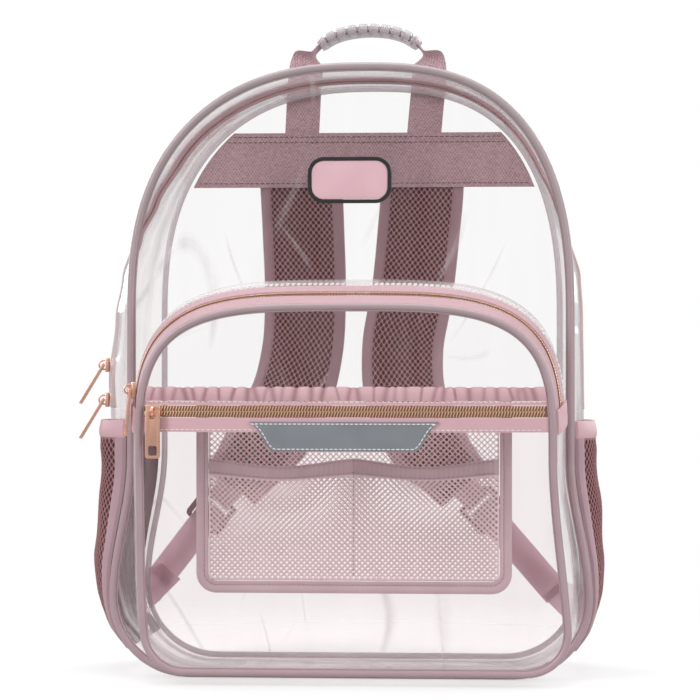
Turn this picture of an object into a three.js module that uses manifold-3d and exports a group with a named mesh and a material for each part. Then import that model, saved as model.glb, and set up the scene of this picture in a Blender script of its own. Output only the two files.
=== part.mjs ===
// Clear stadium backpack: clear vinyl walls, mauve piping, zips, mesh pockets and padded straps.
// Millimetres. +Z is up, the front faces -Y, and the origin is the middle of the base on the floor.
import * as THREE from "three";
import { mergeVertices } from "three/addons/utils/BufferGeometryUtils.js";
import Module from "manifold-3d";

// Walls and gaps
const vinyl = 1;
const tape = 1.2;
const net = 1;
const webbing = 1.6;
const gap = 0.3;

// Main body
const bodyTop = 422.5;
const bodyHalfWidth = 152;
const baseHalfWidth = 164.5;
const springHeight = 250;
const waistShare = 0.5;
const bodyCorner = 52;
const archPower = 2.55;
const archLean = 9;
const bodyDepth = 120;
const backHalfWidth = 145;
const backBaseHalfWidth = 157.5;
const backTop = 418;
const sideBulge = 26;
const pipingRadius = 2.8;
const bindingRadius = 2.2;

// Main zip over the arch
const zipEndHeight = 186;
const zipFront = 38;
const zipTapeWidth = 11;
const coilWidth = 6;
const coilHeight = 2.4;

// Front pocket
const pocketDepth = 45;
const windowZipHeight = 185.5;
const windowRise = 70.5;
const pocketTop = windowZipHeight + windowRise;
const pocketHalfWidth = 140;
const pocketBaseHalfWidth = 143.5;
const pocketSpring = 150;
const pocketCorner = 28;
const pocketLean = 6.5;
const pocketBase = 9;
const pocketPower = 3.7;
const pocketRearRise = 19;
const pocketRearTop = pocketTop + pocketRearRise;
const pocketRearHalfWidth = 147.5;
const pocketRearBaseHalfWidth = 150.5;
const pocketRearCorner = 46;
const pocketBulge = 3;
const pocketDome = 9;
const pocketPipingRadius = 2.6;
const pocketZipEnd = 177;
const pocketTapeWidth = 9;

// Zip and bands across the pocket front
const gatherWidth = 10;
const windowCoilWidth = 8;
const windowTapeWidth = 3;
const lowerTapeWidth = 10;
const patchTopHalfWidth = 64;
const patchBottomHalfWidth = 47;
const patchDrop = 2.9;
const patchTop = windowZipHeight - windowCoilWidth / 2 - patchDrop;
const patchHeight = 20;

// Plain badge on the front panel
const badgeWidth = 58;
const badgeHeight = 32;
const badgeCentre = 344;
const badgeThickness = 2;
const badgeRim = 2.6;

// Net organiser inside the front pocket
const organizerCentre = 2.8;
const organizerHalfWidth = 109;
const organizerTop = 195;
const organizerBottom = 59;
const organizerBinding = 8.5;
const organizerCorner = 14;
const pouchTop = 152;
const pouchBand = 11;
const pouchBulge = 11;

// Side pockets
const sidePocketDrop = 8;
const sidePocketTop = zipEndHeight - sidePocketDrop;
const sidePocketBottom = 22;
const sidePocketBand = 12;
const sidePocketStand = 9.8;

// Yoke, handle and shoulder straps
const yokeBottom = 346;
const yokeTop = 386;
const yokeThickness = 1.2;
const handleSpread = 45.5;
const handleRise = 43;
const handleTop = backTop + handleRise;
const handleLean = 6.5;
const handleLegOverlap = 2;
const handleWidth = 25;
const gripWidth = 28;
const gripThickness = 9;
const strapWidth = 60;
const strapThickness = 10;
const strapEndWidth = 46;
const sewnThickness = 3;
const strapSpacing = 44.5;
const strapTop = 366.5;
const lowerWebbingWidth = 20;
const lockWidth = 30;
const lockHeight = 26;
const lockThickness = 3.6;
const lockBar = 2.6;
const lockCorner = 3;
const lockSlotCorner = 1;
const lockSlotPlay = 2;
const lockReach = 24;
const tailLength = 62;

// Zip sliders and pulls
const pullWidth = 10;
const pullLength = 32;
const pullThickness = 1.6;
const stapleRadius = 3.2;
const sliderLength = 10;
const sliderWidth = 8;
const sliderThickness = 2.6;
const hingePlay = 0.8;
const eyePlay = 0.4;
const eyeWidth = 3.6;
const eyeCorner = 0.6;
const pullCorner = 1.6;
const pullWindowWidth = 6;
const pullWindowHeight = 6.5;
const pullWindowCorner = 0.8;
const pullFoot = 2;
const stapleWidth = 2;
const stapleThickness = 1.2;
const upperSliderRise = 31;
const lowerSliderRise = 6;
const pocketSliderRise = 18;
const windowSliderInset = 2;
const windowSliderLift = 2;
const mainPullRest = 31;
const pocketPullRest = 4;

// Places that follow from the sizes above
const frontY = -bodyDepth / 2;
const backY = bodyDepth / 2;
const pocketY = frontY - pocketDepth;
const bodyBase = pipingRadius + gap;

const wasm = await Module();
wasm.setup();

// Materials
const material = (color, roughness, metalness = 0, opacity = 1) =>
  new THREE.MeshStandardMaterial({ color, roughness, metalness, opacity, transparent: opacity < 1 });
const clearVinyl = material(0xe9eef0, 0.12, 0, 0.3);
const mauveTape = material(0xd7b4b9, 0.8);
const mauveWebbing = material(0x967378, 0.85);
const mauveNet = material(0x9c777d, 0.9);
const mauvePiping = material(0xa0908f, 0.55);
const roseGold = material(0xe1a087, 0.25, 1);
const greyPatch = material(0x82878c, 0.5);
const blackRubber = material(0x1c1b1d, 0.6);
const pinkInlay = material(0xd9b3bb, 0.6);
const mauvePlastic = material(0x8d7075, 0.5);
const clearGrip = material(0xd8d2d4, 0.3, 0, 0.5);

// Sheet and tube solids

function faceted(positions, indices) {
  let volume = 0;
  const corner = (index) => new THREE.Vector3(...positions[index]);
  for (let i = 0; i < indices.length; i += 3) {
    const [a, b, c] = [corner(indices[i]), corner(indices[i + 1]), corner(indices[i + 2])];
    volume += a.dot(b.cross(c));
  }
  const outward = volume < 0 ? indices.slice().reverse() : indices;
  const geometry = new THREE.BufferGeometry();
  geometry.setAttribute("position", new THREE.Float32BufferAttribute(positions.flat(), 3));
  geometry.setIndex(outward);
  return geometry;
}

// A thick sheet between two grids of points with the same rows and columns.
// With ring set, the rows close on themselves.
function sheet(outer, inner, ring = false) {
  const rows = outer.length;
  const columns = outer[0].length;
  const positions = [...outer.flat(), ...inner.flat()].map((p) => p.toArray());
  const front = (row, column) => (row % rows) * columns + column;
  const rear = (row, column) => rows * columns + front(row, column);
  const indices = [];
  const quad = (a, b, c, d) => indices.push(a, b, c, a, c, d);
  const lastRow = ring ? rows : rows - 1;
  for (let i = 0; i < lastRow; i += 1) {
    for (let j = 0; j + 1 < columns; j += 1) {
      quad(front(i, j), front(i + 1, j), front(i + 1, j + 1), front(i, j + 1));
      quad(rear(i, j), rear(i, j + 1), rear(i + 1, j + 1), rear(i + 1, j));
    }
    quad(front(i, 0), rear(i, 0), rear(i + 1, 0), front(i + 1, 0));
    quad(front(i, columns - 1), front(i + 1, columns - 1), rear(i + 1, columns - 1), rear(i, columns - 1));
  }
  for (let j = 0; !ring && j + 1 < columns; j += 1) {
    quad(front(0, j), front(0, j + 1), rear(0, j + 1), rear(0, j));
    quad(front(rows - 1, j), rear(rows - 1, j), rear(rows - 1, j + 1), front(rows - 1, j + 1));
  }
  return faceted(positions, indices);
}

// A tube through sections of points, capped at both ends or closed into a ring.
function tube(sections, ring = false) {
  const count = sections.length;
  const sides = sections[0].length;
  const positions = sections.flat().map((p) => p.toArray());
  const at = (section, side) => (section % count) * sides + (side % sides);
  const indices = [];
  for (let i = 0; i < (ring ? count : count - 1); i += 1) {
    for (let j = 0; j < sides; j += 1) {
      indices.push(at(i, j), at(i + 1, j), at(i + 1, j + 1));
      indices.push(at(i, j), at(i + 1, j + 1), at(i, j + 1));
    }
  }
  for (let j = 1; !ring && j + 1 < sides; j += 1) {
    indices.push(at(0, 0), at(0, j), at(0, j + 1));
    indices.push(at(count - 1, 0), at(count - 1, j + 1), at(count - 1, j));
  }
  return faceted(positions, indices);
}

// A flat shape in the XZ plane, from yRear forward to yFront.
function plate(shape, yFront, yRear, curveSegments = 4) {
  const depth = Math.abs(yFront - yRear);
  const geometry = new THREE.ExtrudeGeometry(shape, { depth, bevelEnabled: false, curveSegments });
  geometry.rotateX(Math.PI / 2);
  return geometry.translate(0, Math.max(yFront, yRear), 0);
}

const shapeOf = (points) => new THREE.Shape(points.map((p) => new THREE.Vector2(p.x, p.z)));

function roundedRectangle(width, height, radius, centreZ = 0) {
  const shape = new THREE.Shape();
  const [left, right] = [-width / 2, width / 2];
  const [bottom, top] = [centreZ - height / 2, centreZ + height / 2];
  shape.moveTo(left + radius, bottom);
  shape.lineTo(right - radius, bottom);
  shape.absarc(right - radius, bottom + radius, radius, -Math.PI / 2, 0);
  shape.lineTo(right, top - radius);
  shape.absarc(right - radius, top - radius, radius, 0, Math.PI / 2);
  shape.lineTo(left + radius, top);
  shape.absarc(left + radius, top - radius, radius, Math.PI / 2, Math.PI);
  shape.lineTo(left, bottom + radius);
  shape.absarc(left + radius, bottom + radius, radius, Math.PI, Math.PI * 1.5);
  return shape;
}

// Joins and cuts

function solidOf(geometry) {
  const bare = geometry.clone();
  bare.deleteAttribute("normal");
  bare.deleteAttribute("uv");
  const merged = mergeVertices(bare, 1e-4);
  return new wasm.Manifold(
    new wasm.Mesh({
      numProp: 3,
      vertProperties: new Float32Array(merged.attributes.position.array),
      triVerts: new Uint32Array(merged.index.array),
    }),
  );
}

function geometryOf(solid) {
  const mesh = solid.getMesh();
  const geometry = new THREE.BufferGeometry();
  geometry.setAttribute("position", new THREE.BufferAttribute(mesh.vertProperties, 3));
  geometry.setIndex(new THREE.BufferAttribute(mesh.triVerts, 1));
  return geometry;
}

const common = (a, b) => geometryOf(solidOf(a).intersect(solidOf(b)));
const cut = (a, b) => geometryOf(solidOf(a).subtract(solidOf(b)));
const joined = (a, b) => geometryOf(solidOf(a).add(solidOf(b)));

// Outlines

const smooth = (share) => (1 - Math.cos(Math.PI * share)) / 2;
const mix = (a, b, share) => a + (b - a) * share;
const span = (from, to, count) => Array.from({ length: count + 1 }, (_, i) => mix(from, to, i / count));

// The right half of an arched outline, from the middle of the base up to the crown.
function halfArch({ halfWidth, baseWidth, spring, top, base, corner, power, waist }) {
  const points = span(0, baseWidth - corner, 8).map((x) => ({ x, z: base }));
  for (const turn of span(0, Math.PI / 2, 12).slice(1)) {
    points.push({
      x: baseWidth - corner + corner * Math.sin(turn),
      z: base + corner - corner * Math.cos(turn),
    });
  }
  for (const share of span(0, 1, 24).slice(1)) {
    const narrowed = smooth(Math.min(share / waist, 1));
    points.push({ x: mix(baseWidth, halfWidth, narrowed), z: mix(base + corner, spring, share) });
  }
  for (const turn of span(0, Math.PI / 2, 60).slice(1)) {
    points.push({
      x: halfWidth * Math.max(Math.cos(turn), 0) ** (2 / power),
      z: spring + (top - spring) * Math.sin(turn) ** (2 / power),
    });
  }
  return points;
}

// A closed outline read by share of its way round, from the middle of the base to the right, up
// and over. The share counts turning as well as length, so even steps fall closer on the corners.
// lean gives how far the outline's middle is moved to the right at each height.
function archOutline(sizes) {
  const turningWeight = 60;
  const right = halfArch(sizes);
  const left = right.slice(1, -1).reverse().map((p) => ({ x: -p.x, z: p.z }));
  const points = [...right, ...left];
  const count = points.length;
  const direction = (i) => {
    const [a, b] = [points[(i + count - 1) % count], points[(i + 1) % count]];
    return Math.atan2(b.z - a.z, b.x - a.x);
  };
  const marks = [0];
  for (let i = 0; i < count; i += 1) {
    const [a, b] = [points[i], points[(i + 1) % count]];
    const turn = Math.abs(Math.atan2(
      Math.sin(direction(i + 1) - direction(i)),
      Math.cos(direction(i + 1) - direction(i)),
    ));
    marks.push(marks[i] + Math.hypot(b.x - a.x, b.z - a.z) + turningWeight * turn);
  }
  const { lean } = sizes;
  const at = (share) => {
    const mark = (share - Math.floor(share)) * marks[count];
    const i = Math.max(marks.findIndex((m) => m > mark) - 1, 0);
    const part = (mark - marks[i]) / (marks[i + 1] - marks[i]);
    const [a, b] = [points[i], points[(i + 1) % count]];
    const [from, to] = [direction(i), direction(i + 1)];
    const turn = Math.atan2(Math.sin(to - from), Math.cos(to - from));
    const heading = from + turn * part;
    const z = mix(a.z, b.z, part);
    return {
      x: mix(a.x, b.x, part) + lean(z),
      z,
      nx: Math.sin(heading),
      nz: -Math.cos(heading),
    };
  };
  // The share at which the right side passes a height. The left side has it at one less this.
  const shareAt = (height) => {
    let [low, high] = [0, 0.5];
    for (let step = 0; step < 40; step += 1) {
      const middle = (low + high) / 2;
      if (at(middle).z < height) {
        low = middle;
      } else {
        high = middle;
      }
    }
    return (low + high) / 2;
  };
  const halfWidthAt = (height) => at(shareAt(height)).x - lean(height);
  const inset = (share, distance) => {
    const p = at(share);
    return { x: p.x - p.nx * distance, z: p.z - p.nz * distance };
  };
  return { at, inset, shareAt, halfWidthAt, lean };
}

// The arch leans to the right towards its crown, and the front pocket towards its base.
const inUnit = (value) => THREE.MathUtils.clamp(value, 0, 1);
const bodyLean = (z) => archLean * inUnit((z - springHeight) / (bodyTop - springHeight)) ** 3;
const pocketStraight = pocketBase + pocketCorner;
const pocketLeanAt = (z) => pocketLean * inUnit((pocketSpring - z) / (pocketSpring - pocketStraight)) ** 1.3;

const bodyFront = archOutline({
  halfWidth: bodyHalfWidth,
  baseWidth: baseHalfWidth,
  spring: springHeight,
  top: bodyTop,
  base: bodyBase,
  corner: bodyCorner,
  power: archPower,
  waist: waistShare,
  lean: bodyLean,
});
const bodyBack = archOutline({
  halfWidth: backHalfWidth,
  baseWidth: backBaseHalfWidth,
  spring: springHeight,
  top: backTop,
  base: bodyBase,
  corner: bodyCorner,
  power: archPower,
  waist: waistShare,
  lean: bodyLean,
});
const pocketFront = archOutline({
  halfWidth: pocketHalfWidth,
  baseWidth: pocketBaseHalfWidth,
  spring: pocketSpring,
  top: pocketTop,
  base: pocketBase,
  corner: pocketCorner,
  power: pocketPower,
  waist: 1,
  lean: pocketLeanAt,
});
const pocketRear = archOutline({
  halfWidth: pocketRearHalfWidth,
  baseWidth: pocketRearBaseHalfWidth,
  spring: pocketSpring,
  top: pocketRearTop,
  base: pocketBase,
  corner: pocketRearCorner,
  power: pocketPower,
  waist: 1,
  lean: pocketLeanAt,
});

// Walls between a front and a rear outline

// How far the soft side walls stand out at each share of the body's height, as shares of the side
// bulge. The zip's arch dips in a little at the crown. The base sags just enough to lie flat.
const bulgeRows = [
  { height: 0.0, left: 0.04, right: 0.04 },
  { height: 0.05, left: 0.15, right: 0.06 },
  { height: 0.095, left: 0.31, right: 0.07 },
  { height: 0.195, left: 0.58, right: 0.19 },
  { height: 0.295, left: 0.77, right: 0.4 },
  { height: 0.415, left: 0.94, right: 0.48 },
  { height: 0.485, left: 1.0, right: 0.46 },
  { height: 0.59, left: 0.81, right: 0.44 },
  { height: 0.655, left: 0.63, right: 0.4 },
  { height: 0.72, left: 0.37, right: 0.2 },
  { height: 0.78, left: 0.15, right: 0.03 },
  { height: 0.85, left: 0.0, right: -0.08 },
  { height: 1.0, left: -0.12, right: -0.12 },
];

// Reads one column of a table by its height column, with soft steps between its rows.
function readRows(rows, column, height) {
  const share = inUnit(height);
  const i = Math.max(rows.findIndex((row) => row.height >= share), 1);
  const [a, b] = [rows[i - 1], rows[i]];
  return mix(a[column], b[column], smooth((share - a.height) / (b.height - a.height)));
}

function bulgeAt(x, height) {
  const rightness = inUnit(0.5 + x / bodyHalfWidth);
  const share = height / bodyTop;
  return sideBulge * mix(readRows(bulgeRows, "left", share), readRows(bulgeRows, "right", share), rightness);
}

// A point of the body's side wall: share round the outline, y, and distance out from mid-wall.
function bodyWall(share, y, out = 0) {
  const across = (y - frontY) / bodyDepth;
  const [a, b] = [bodyFront.at(share), bodyBack.at(share)];
  const x = mix(a.x, b.x, across);
  const z = mix(a.z, b.z, across);
  const normal = new THREE.Vector2(mix(a.nx, b.nx, across), mix(a.nz, b.nz, across)).normalize();
  const flatness = inUnit(1 - (z - bodyBase) / bodyCorner);
  const round = 4 * across * (1 - across);
  const edge = Math.max(Math.abs(2 * across - 1) - 0.8, 0) / 0.2;
  const flat = 1 - edge * edge;
  const baseSag = bodyBase - vinyl / 2;
  const bow = mix(bulgeAt(x, z) * round, baseSag * flat, flatness ** 2);
  return new THREE.Vector3(x + normal.x * (bow + out), y, z + normal.y * (bow + out));
}

// The same for the front pocket's side wall, whose rear edge is sewn to the front panel.
function pocketWall(share, y, out = 0) {
  const across = (y - pocketY) / pocketDepth;
  const [a, b] = [pocketFront.at(share), pocketRear.at(share)];
  const x = mix(a.x, b.x, across);
  const z = mix(a.z, b.z, across);
  const normal = new THREE.Vector2(mix(a.nx, b.nx, across), mix(a.nz, b.nz, across)).normalize();
  const lift = inUnit((z - pocketBase) / pocketCorner);
  const bow = pocketBulge * lift * 4 * across * (1 - across);
  return new THREE.Vector3(x + normal.x * (bow + out), y, z + normal.y * (bow + out));
}

// A strip of wall from one share to another, through the given y stations.
function wallStrip(wall, shares, stations, thickness, lift = 0) {
  const grid = (out) => shares.map((share) => stations.map((y) => wall(share, y, out)));
  return sheet(grid(lift + thickness / 2), grid(lift - thickness / 2));
}

const bodySteps = 48;
const pocketSteps = 40;
const ringShares = (steps) => span(0, 1, steps).slice(0, -1);

// A round cord sewn along an outline.
function pipingRing(outline, y, radius, steps, sides) {
  const section = (share) => {
    const p = outline.at(share);
    return span(0, 2 * Math.PI, sides).slice(0, -1).map((turn) => new THREE.Vector3(
      p.x + p.nx * radius * Math.cos(turn),
      y + radius * Math.sin(turn),
      p.z + p.nz * radius * Math.cos(turn),
    ));
  };
  return tube(ringShares(steps).map(section), true);
}

const model = new THREE.Group();

function add(name, geometry, look, parent = model) {
  const mesh = new THREE.Mesh(geometry, look);
  mesh.name = name;
  parent.add(mesh);
  return mesh;
}

// Main body

function addBody() {
  const panel = (outline, edge) =>
    shapeOf(ringShares(bodySteps).map((share) => outline.inset(share, edge)));
  const frontEdge = pipingRadius + gap;
  const backEdge = bindingRadius + gap;
  const half = vinyl / 2;
  add("front_panel", plate(panel(bodyFront, frontEdge), frontY - half, frontY + half), clearVinyl);
  add("back_panel", plate(panel(bodyBack, backEdge), backY - half, backY + half), clearVinyl);
  add("main_piping", pipingRing(bodyFront, frontY, pipingRadius, bodySteps, 6), mauvePiping);
  add("back_binding", pipingRing(bodyBack, backY, bindingRadius, bodySteps, 6), clearVinyl);
}

const archSteps = 26;
const zipMiddle = frontY + zipFront + zipTapeWidth + coilWidth / 2;

function archShares(outline, endHeight, steps) {
  const start = outline.shareAt(endHeight);
  return span(start, 1 - start, steps);
}

function addMainArch() {
  const shares = archShares(bodyFront, zipEndHeight, archSteps);
  const start = frontY + pipingRadius + gap;
  const zipStart = frontY + zipFront;
  const coilStart = zipStart + zipTapeWidth;
  const coilEnd = coilStart + coilWidth;
  const zipEnd = coilEnd + zipTapeWidth;
  const end = backY - bindingRadius - gap;
  const strip = (from, to, parts, thickness) =>
    wallStrip(bodyWall, shares, span(from, to - gap, parts), thickness);
  add("gusset_front_strip", strip(start, zipStart, 2, vinyl), clearVinyl);
  add("main_zip_tape_front", strip(zipStart, coilStart, 1, tape), mauveTape);
  add("main_zip_coil", strip(coilStart, coilEnd, 1, coilHeight), roseGold);
  add("main_zip_tape_back", strip(coilEnd, zipEnd, 1, tape), mauveTape);
  add("gusset_back_strip", strip(zipEnd, end + gap, 2, vinyl), clearVinyl);
}

// The clear wall below the zip: down one side, under the base and up the other side.
function addLowerGusset() {
  const start = bodyFront.shareAt(zipEndHeight - gap);
  const shares = span(-start, start, 34);
  const first = frontY + pipingRadius + gap;
  const last = backY - bindingRadius - gap;
  add("lower_gusset", wallStrip(bodyWall, shares, span(first, last, 8), vinyl), clearVinyl);
}

// Front pocket

const panelFace = frontY - vinyl / 2 - gap;

function addPocketWalls() {
  const shares = archShares(pocketFront, pocketZipEnd, 20);
  const start = pocketY + pocketPipingRadius + gap;
  const coilStart = start + pocketTapeWidth;
  const coilEnd = coilStart + coilWidth;
  const tapeEnd = coilEnd + pocketTapeWidth;
  const strip = (from, to, parts, thickness) =>
    wallStrip(pocketWall, shares, span(from, to - gap, parts), thickness);
  add("pocket_piping", pipingRing(pocketFront, pocketY, pocketPipingRadius, pocketSteps, 6), mauvePiping);
  add("pocket_zip_tape_front", strip(start, coilStart, 1, tape), mauveTape);
  add("pocket_zip_coil", strip(coilStart, coilEnd, 1, coilHeight), roseGold);
  add("pocket_zip_tape_rear", strip(coilEnd, tapeEnd, 1, tape), mauveTape);
  add("pocket_top_strip", strip(tapeEnd, panelFace + gap, 1, vinyl), clearVinyl);
  const low = pocketFront.shareAt(pocketZipEnd - gap);
  const lowShares = span(-low, low, 26);
  const lowWall = wallStrip(pocketWall, lowShares, span(start, panelFace, 2), vinyl);
  add("pocket_lower_gusset", lowWall, clearVinyl);
}

// Folded tape that covers each end of the pocket's arched zip.
function addZipEnds() {
  const endTabHeight = 16;
  const endTabWidth = 2 * pocketTapeWidth + coilWidth;
  const lift = coilHeight / 2 + gap + tape / 2;
  const start = pocketY + pocketPipingRadius + gap;
  const stations = span(start, start + endTabWidth, 2);
  const low = pocketFront.shareAt(pocketZipEnd - endTabHeight / 2);
  const high = pocketFront.shareAt(pocketZipEnd + endTabHeight / 2);
  const shares = span(low, high, 2);
  add("pocket_zip_end_right", wallStrip(pocketWall, shares, stations, tape, lift), mauveTape);
  const leftShares = shares.map((share) => 1 - share);
  add("pocket_zip_end_left", wallStrip(pocketWall, leftShares, stations, tape, lift), mauveTape);
}

const pocketMiddle = (pocketTop + pocketBase) / 2;

// The pocket front is a shallow dome. This is the whole of it as rings that shrink to the middle,
// moved forward by lift.
function domedFront(thickness, lift) {
  const rings = [1, 0.86, 0.68, 0.45, 0.2];
  const edge = pocketPipingRadius + gap;
  const row = (share, y) => rings.map((size) => {
    const p = pocketFront.inset(share, edge);
    const forward = pocketDome * (1 - size ** 2.5);
    return new THREE.Vector3(p.x * size, y - forward, mix(pocketMiddle, p.z, size));
  });
  const rows = (y) => ringShares(pocketSteps).map((share) => row(share, y));
  const face = pocketY - lift;
  return closedDisc(rows(face - thickness / 2), rows(face + thickness / 2));
}

// A thick disc between two sets of radial rows, closed in the middle by a fan on each face.
function closedDisc(front, rear) {
  const rows = front.length;
  const columns = front[0].length;
  const positions = [...front.flat(), ...rear.flat()].map((p) => p.toArray());
  const middle = (grid) => {
    const inner = grid.map((row) => row[columns - 1]);
    const sum = inner.reduce((total, p) => total.add(p), new THREE.Vector3());
    return sum.divideScalar(inner.length).toArray();
  };
  positions.push(middle(front), middle(rear));
  const at = (side, i, j) => side * rows * columns + (i % rows) * columns + j;
  const centre = (side) => 2 * rows * columns + side;
  const indices = [];
  for (let i = 0; i < rows; i += 1) {
    for (let j = 0; j + 1 < columns; j += 1) {
      indices.push(at(0, i, j), at(0, i + 1, j), at(0, i + 1, j + 1));
      indices.push(at(0, i, j), at(0, i + 1, j + 1), at(0, i, j + 1));
      indices.push(at(1, i, j), at(1, i + 1, j + 1), at(1, i + 1, j));
      indices.push(at(1, i, j), at(1, i, j + 1), at(1, i + 1, j + 1));
    }
    indices.push(at(0, i, columns - 1), at(0, i + 1, columns - 1), centre(0));
    indices.push(at(1, i, columns - 1), centre(1), at(1, i + 1, columns - 1));
    indices.push(at(0, i, 0), at(1, i, 0), at(1, i + 1, 0));
    indices.push(at(0, i, 0), at(1, i + 1, 0), at(0, i + 1, 0));
  }
  return faceted(positions, indices);
}

// A block that keeps the part of the pocket front between two heights.
function heightBlock(low, high) {
  const width = 3 * pocketBaseHalfWidth;
  const depth = 3 * pocketDepth;
  const block = new THREE.BoxGeometry(width, depth, high - low);
  return block.translate(0, pocketY, (low + high) / 2);
}

const coilLow = windowZipHeight - windowCoilWidth / 2;
const coilHigh = windowZipHeight + windowCoilWidth / 2;
const tapeHigh = coilHigh + windowTapeWidth;
const gatherHigh = tapeHigh + gatherWidth;
const lowerTapeLow = coilLow - lowerTapeWidth;

function addPocketFront() {
  const part = (low, high, thickness, lift = 0) =>
    common(domedFront(thickness, lift), heightBlock(low, high - gap));
  add("pocket_upper_window", part(gatherHigh, pocketTop, vinyl), clearVinyl);
  add("pocket_gathered_band", part(tapeHigh, gatherHigh, tape), mauveTape);
  add("window_zip_tape_upper", part(coilHigh, tapeHigh, tape), mauveTape);
  add("window_zip_coil", part(coilLow, coilHigh, coilHeight), roseGold);
  add("window_zip_tape_lower", part(lowerTapeLow, coilLow, tape), mauveTape);
  add("pocket_lower_window", part(pocketBase, lowerTapeLow, vinyl), clearVinyl);
}

// The reflective patch hangs over the lower tape and has rounded lower corners.
function addPatch() {
  const patchBottom = patchTop - patchHeight;
  const shape = new THREE.Shape();
  shape.moveTo(-patchTopHalfWidth, patchTop);
  shape.bezierCurveTo(
    -mix(patchTopHalfWidth, patchBottomHalfWidth, 0.5), mix(patchTop, patchBottom, 0.2),
    -mix(patchTopHalfWidth, patchBottomHalfWidth, 0.6), patchBottom,
    -patchBottomHalfWidth, patchBottom,
  );
  shape.lineTo(patchBottomHalfWidth, patchBottom);
  shape.bezierCurveTo(
    mix(patchTopHalfWidth, patchBottomHalfWidth, 0.6), patchBottom,
    mix(patchTopHalfWidth, patchBottomHalfWidth, 0.5), mix(patchTop, patchBottom, 0.2),
    patchTopHalfWidth, patchTop,
  );
  const lift = tape / 2 + gap + tape / 2;
  const block = plate(shape, pocketY - pocketDepth, pocketY + pocketDepth, 5);
  add("reflective_patch", common(domedFront(tape, lift), block), greyPatch);
}

function addBadge() {
  const rear = panelFace;
  const front = rear - badgeThickness;
  const corner = badgeHeight * 0.35;
  const outer = roundedRectangle(badgeWidth, badgeHeight, corner, badgeCentre);
  const opening = (edge) =>
    roundedRectangle(badgeWidth - 2 * edge, badgeHeight - 2 * edge, corner - edge, badgeCentre);
  outer.holes.push(opening(badgeRim));
  add("badge_rim", plate(outer, front, rear, 3), blackRubber);
  add("badge_inlay", plate(opening(badgeRim + gap), front + gap, rear, 3), pinkInlay);
}

// Net organiser on the front panel, inside the front pocket

function addOrganizer() {
  const rear = panelFace;
  const innerHalf = organizerHalfWidth - organizerBinding - gap;
  const innerBottom = organizerBottom + organizerBinding + gap;
  const innerCorner = organizerCorner - organizerBinding;
  const netShape = new THREE.Shape();
  netShape.moveTo(innerHalf, organizerTop);
  netShape.lineTo(-innerHalf, organizerTop);
  netShape.lineTo(-innerHalf, innerBottom + innerCorner);
  netShape.absarc(-innerHalf + innerCorner, innerBottom + innerCorner, innerCorner, Math.PI, Math.PI * 1.5);
  netShape.lineTo(innerHalf - innerCorner, innerBottom);
  netShape.absarc(innerHalf - innerCorner, innerBottom + innerCorner, innerCorner, -Math.PI / 2, 0);
  const shifted = (shape, thickness) => plate(shape, rear - thickness, rear).translate(organizerCentre, 0, 0);
  add("organizer_back_net", shifted(netShape, net), mauveNet);

  const binding = new THREE.Shape();
  binding.moveTo(organizerHalfWidth, organizerTop);
  binding.lineTo(innerHalf + gap, organizerTop);
  binding.lineTo(innerHalf + gap, innerBottom + innerCorner);
  binding.absarc(
    innerHalf - innerCorner, innerBottom + innerCorner, innerCorner + gap, 0, -Math.PI / 2, true);
  binding.lineTo(-innerHalf + innerCorner, innerBottom - gap);
  binding.absarc(
    -innerHalf + innerCorner, innerBottom + innerCorner, innerCorner + gap, -Math.PI / 2, -Math.PI, true);
  binding.lineTo(-innerHalf - gap, organizerTop);
  binding.lineTo(-organizerHalfWidth, organizerTop);
  binding.lineTo(-organizerHalfWidth, organizerBottom + organizerCorner);
  binding.absarc(
    -organizerHalfWidth + organizerCorner, organizerBottom + organizerCorner, organizerCorner,
    Math.PI, Math.PI * 1.5);
  binding.lineTo(organizerHalfWidth - organizerCorner, organizerBottom);
  binding.absarc(
    organizerHalfWidth - organizerCorner, organizerBottom + organizerCorner, organizerCorner,
    -Math.PI / 2, 0);
  add("organizer_binding", shifted(binding, net + tape), mauveTape);
}

// The pouch is sewn at both sides, the bottom and the middle, and stands open at its top.
function pouchPoint(across, height, out) {
  const halfWidth = organizerHalfWidth - organizerBinding - gap;
  const bottom = organizerBottom + organizerBinding + gap + organizerCorner;
  const rise = inUnit((height - bottom) / (pouchTop - bottom));
  const pocket = Math.abs(Math.sin(Math.PI * across));
  const forward = pouchBulge * pocket ** 0.8 * smooth(Math.min(rise * 1.4, 1));
  const seat = panelFace - net - gap - net / 2;
  return new THREE.Vector3(organizerCentre + across * halfWidth, seat - forward - out, height);
}

function addPouch() {
  const columns = span(-1, 1, 12);
  const bottom = organizerBottom + organizerBinding + gap + organizerCorner / 2;
  const bandBottom = pouchTop - pouchBand;
  const part = (low, high, rows, thickness) => {
    const grid = (out) => span(low, high, rows).map((z) => columns.map((c) => pouchPoint(c, z, out)));
    return sheet(grid(thickness / 2), grid(-thickness / 2));
  };
  add("organizer_pouch", part(bottom, bandBottom - gap, 4, net), mauveNet);
  add("organizer_pouch_band", part(bandBottom, pouchTop, 1, net), mauveTape);
}

// Side pockets

// How far a side pocket stands out over its own height, as shares of its stand.
const standRows = [
  { height: 0.0, out: 0.15 },
  { height: 0.1, out: 0.61 },
  { height: 0.25, out: 0.87 },
  { height: 0.4, out: 1.0 },
  { height: 0.65, out: 0.98 },
  { height: 0.85, out: 0.9 },
  { height: 0.93, out: 0.75 },
  { height: 1.0, out: 0.6 },
];

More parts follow.
